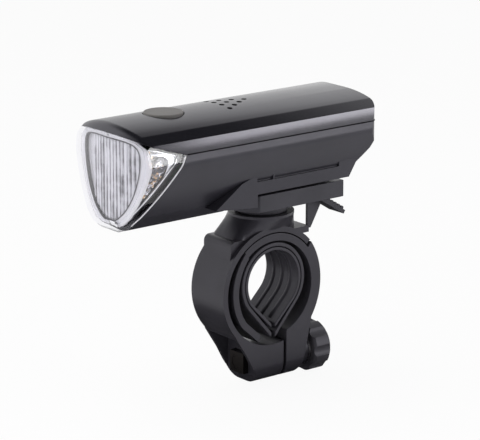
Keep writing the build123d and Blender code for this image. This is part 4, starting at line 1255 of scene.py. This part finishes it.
cup = cups.node(
    "GeometryNodeMeshCylinder",
    Vertices=cup_corners, Radius=cups.value("Radius"), Depth=cups.value("Depth"),
)
cup_x = cups.node("ShaderNodeSeparateXYZ", i0=cups.node("GeometryNodeInputPosition"))
lean = cups.node("ShaderNodeCombineXYZ", Y=cups.math("DIVIDE", cup_x, cups.value("Bend")))
placed = cups.node(
    "GeometryNodeInstanceOnPoints", Points=cups.start.outputs[0], Instance=cup, Rotation=lean
)
# Each cup's black is painted shade in its dimple.
cups.grow("dimple_shade_cups", placed, shadow_black, "lid", spots_mesh)

# %% [markdown]
# ## Ridges in the liner
# The soft liner grips the bar with a few low ridges that run round its bore and down into its
# pointed tip. One ridge is bent once as a thin rod, and a node tree sets copies of it side by side
# at an even pitch. Only a sliver of each rod stands out of the liner.

# %% Liner ridges
bore = 11.2
ridge_radius = 1.2
ridge_shows = 0.45
tip_drop = 16.0
arc_steps = 48
tip_share = 0.75
ridge_pitch = 4.6
ridge_count = 3
ridge_sides = 12
ridge_line = bore + ridge_radius - ridge_shows
tip = tip_drop * ridge_line / bore
tangent = math.acos(ridge_line / tip)
arc_ends = (-math.pi / 2 + tangent, 1.5 * math.pi - tangent)
ridge_path = []
for i in range(arc_steps + 1):
    turn = arc_ends[0] + (arc_ends[1] - arc_ends[0]) * i / arc_steps
    ridge_path.append(Vector((0, math.cos(turn), math.sin(turn))) * ridge_line * MM)
foot = Vector((0, 0, -tip * MM))
ridge_path.insert(0, ridge_path[0].lerp(foot, tip_share))
ridge_path.append(ridge_path[-1].lerp(foot, tip_share))
ridge = rod("ridge", ridge_path, ridge_radius, liner_soft, "clamp", ridge_sides)
ridges = Growth("ridges", Pitch=ridge_pitch * MM, Count=ridge_count)
stride = ridges.node("ShaderNodeCombineXYZ", X=ridges.value("Pitch"))
line = ridges.node("GeometryNodeMeshLine", Count=ridges.value("Count"), Offset=stride)
one_back = ridges.math("MULTIPLY", ridges.value("Pitch"), -1.0)
first_place = ridges.node("ShaderNodeCombineXYZ", X=one_back)
shifted = ridges.node("GeometryNodeSetPosition", Geometry=line, Offset=first_place)
copies = ridges.node("GeometryNodeInstanceOnPoints", Points=shifted, Instance=ridges.start.outputs[0])
ridge_mesh = ridge.data
bpy.data.objects.remove(ridge)
ridges.grow("liner_ridges", copies, liner_soft, "clamp", ridge_mesh)
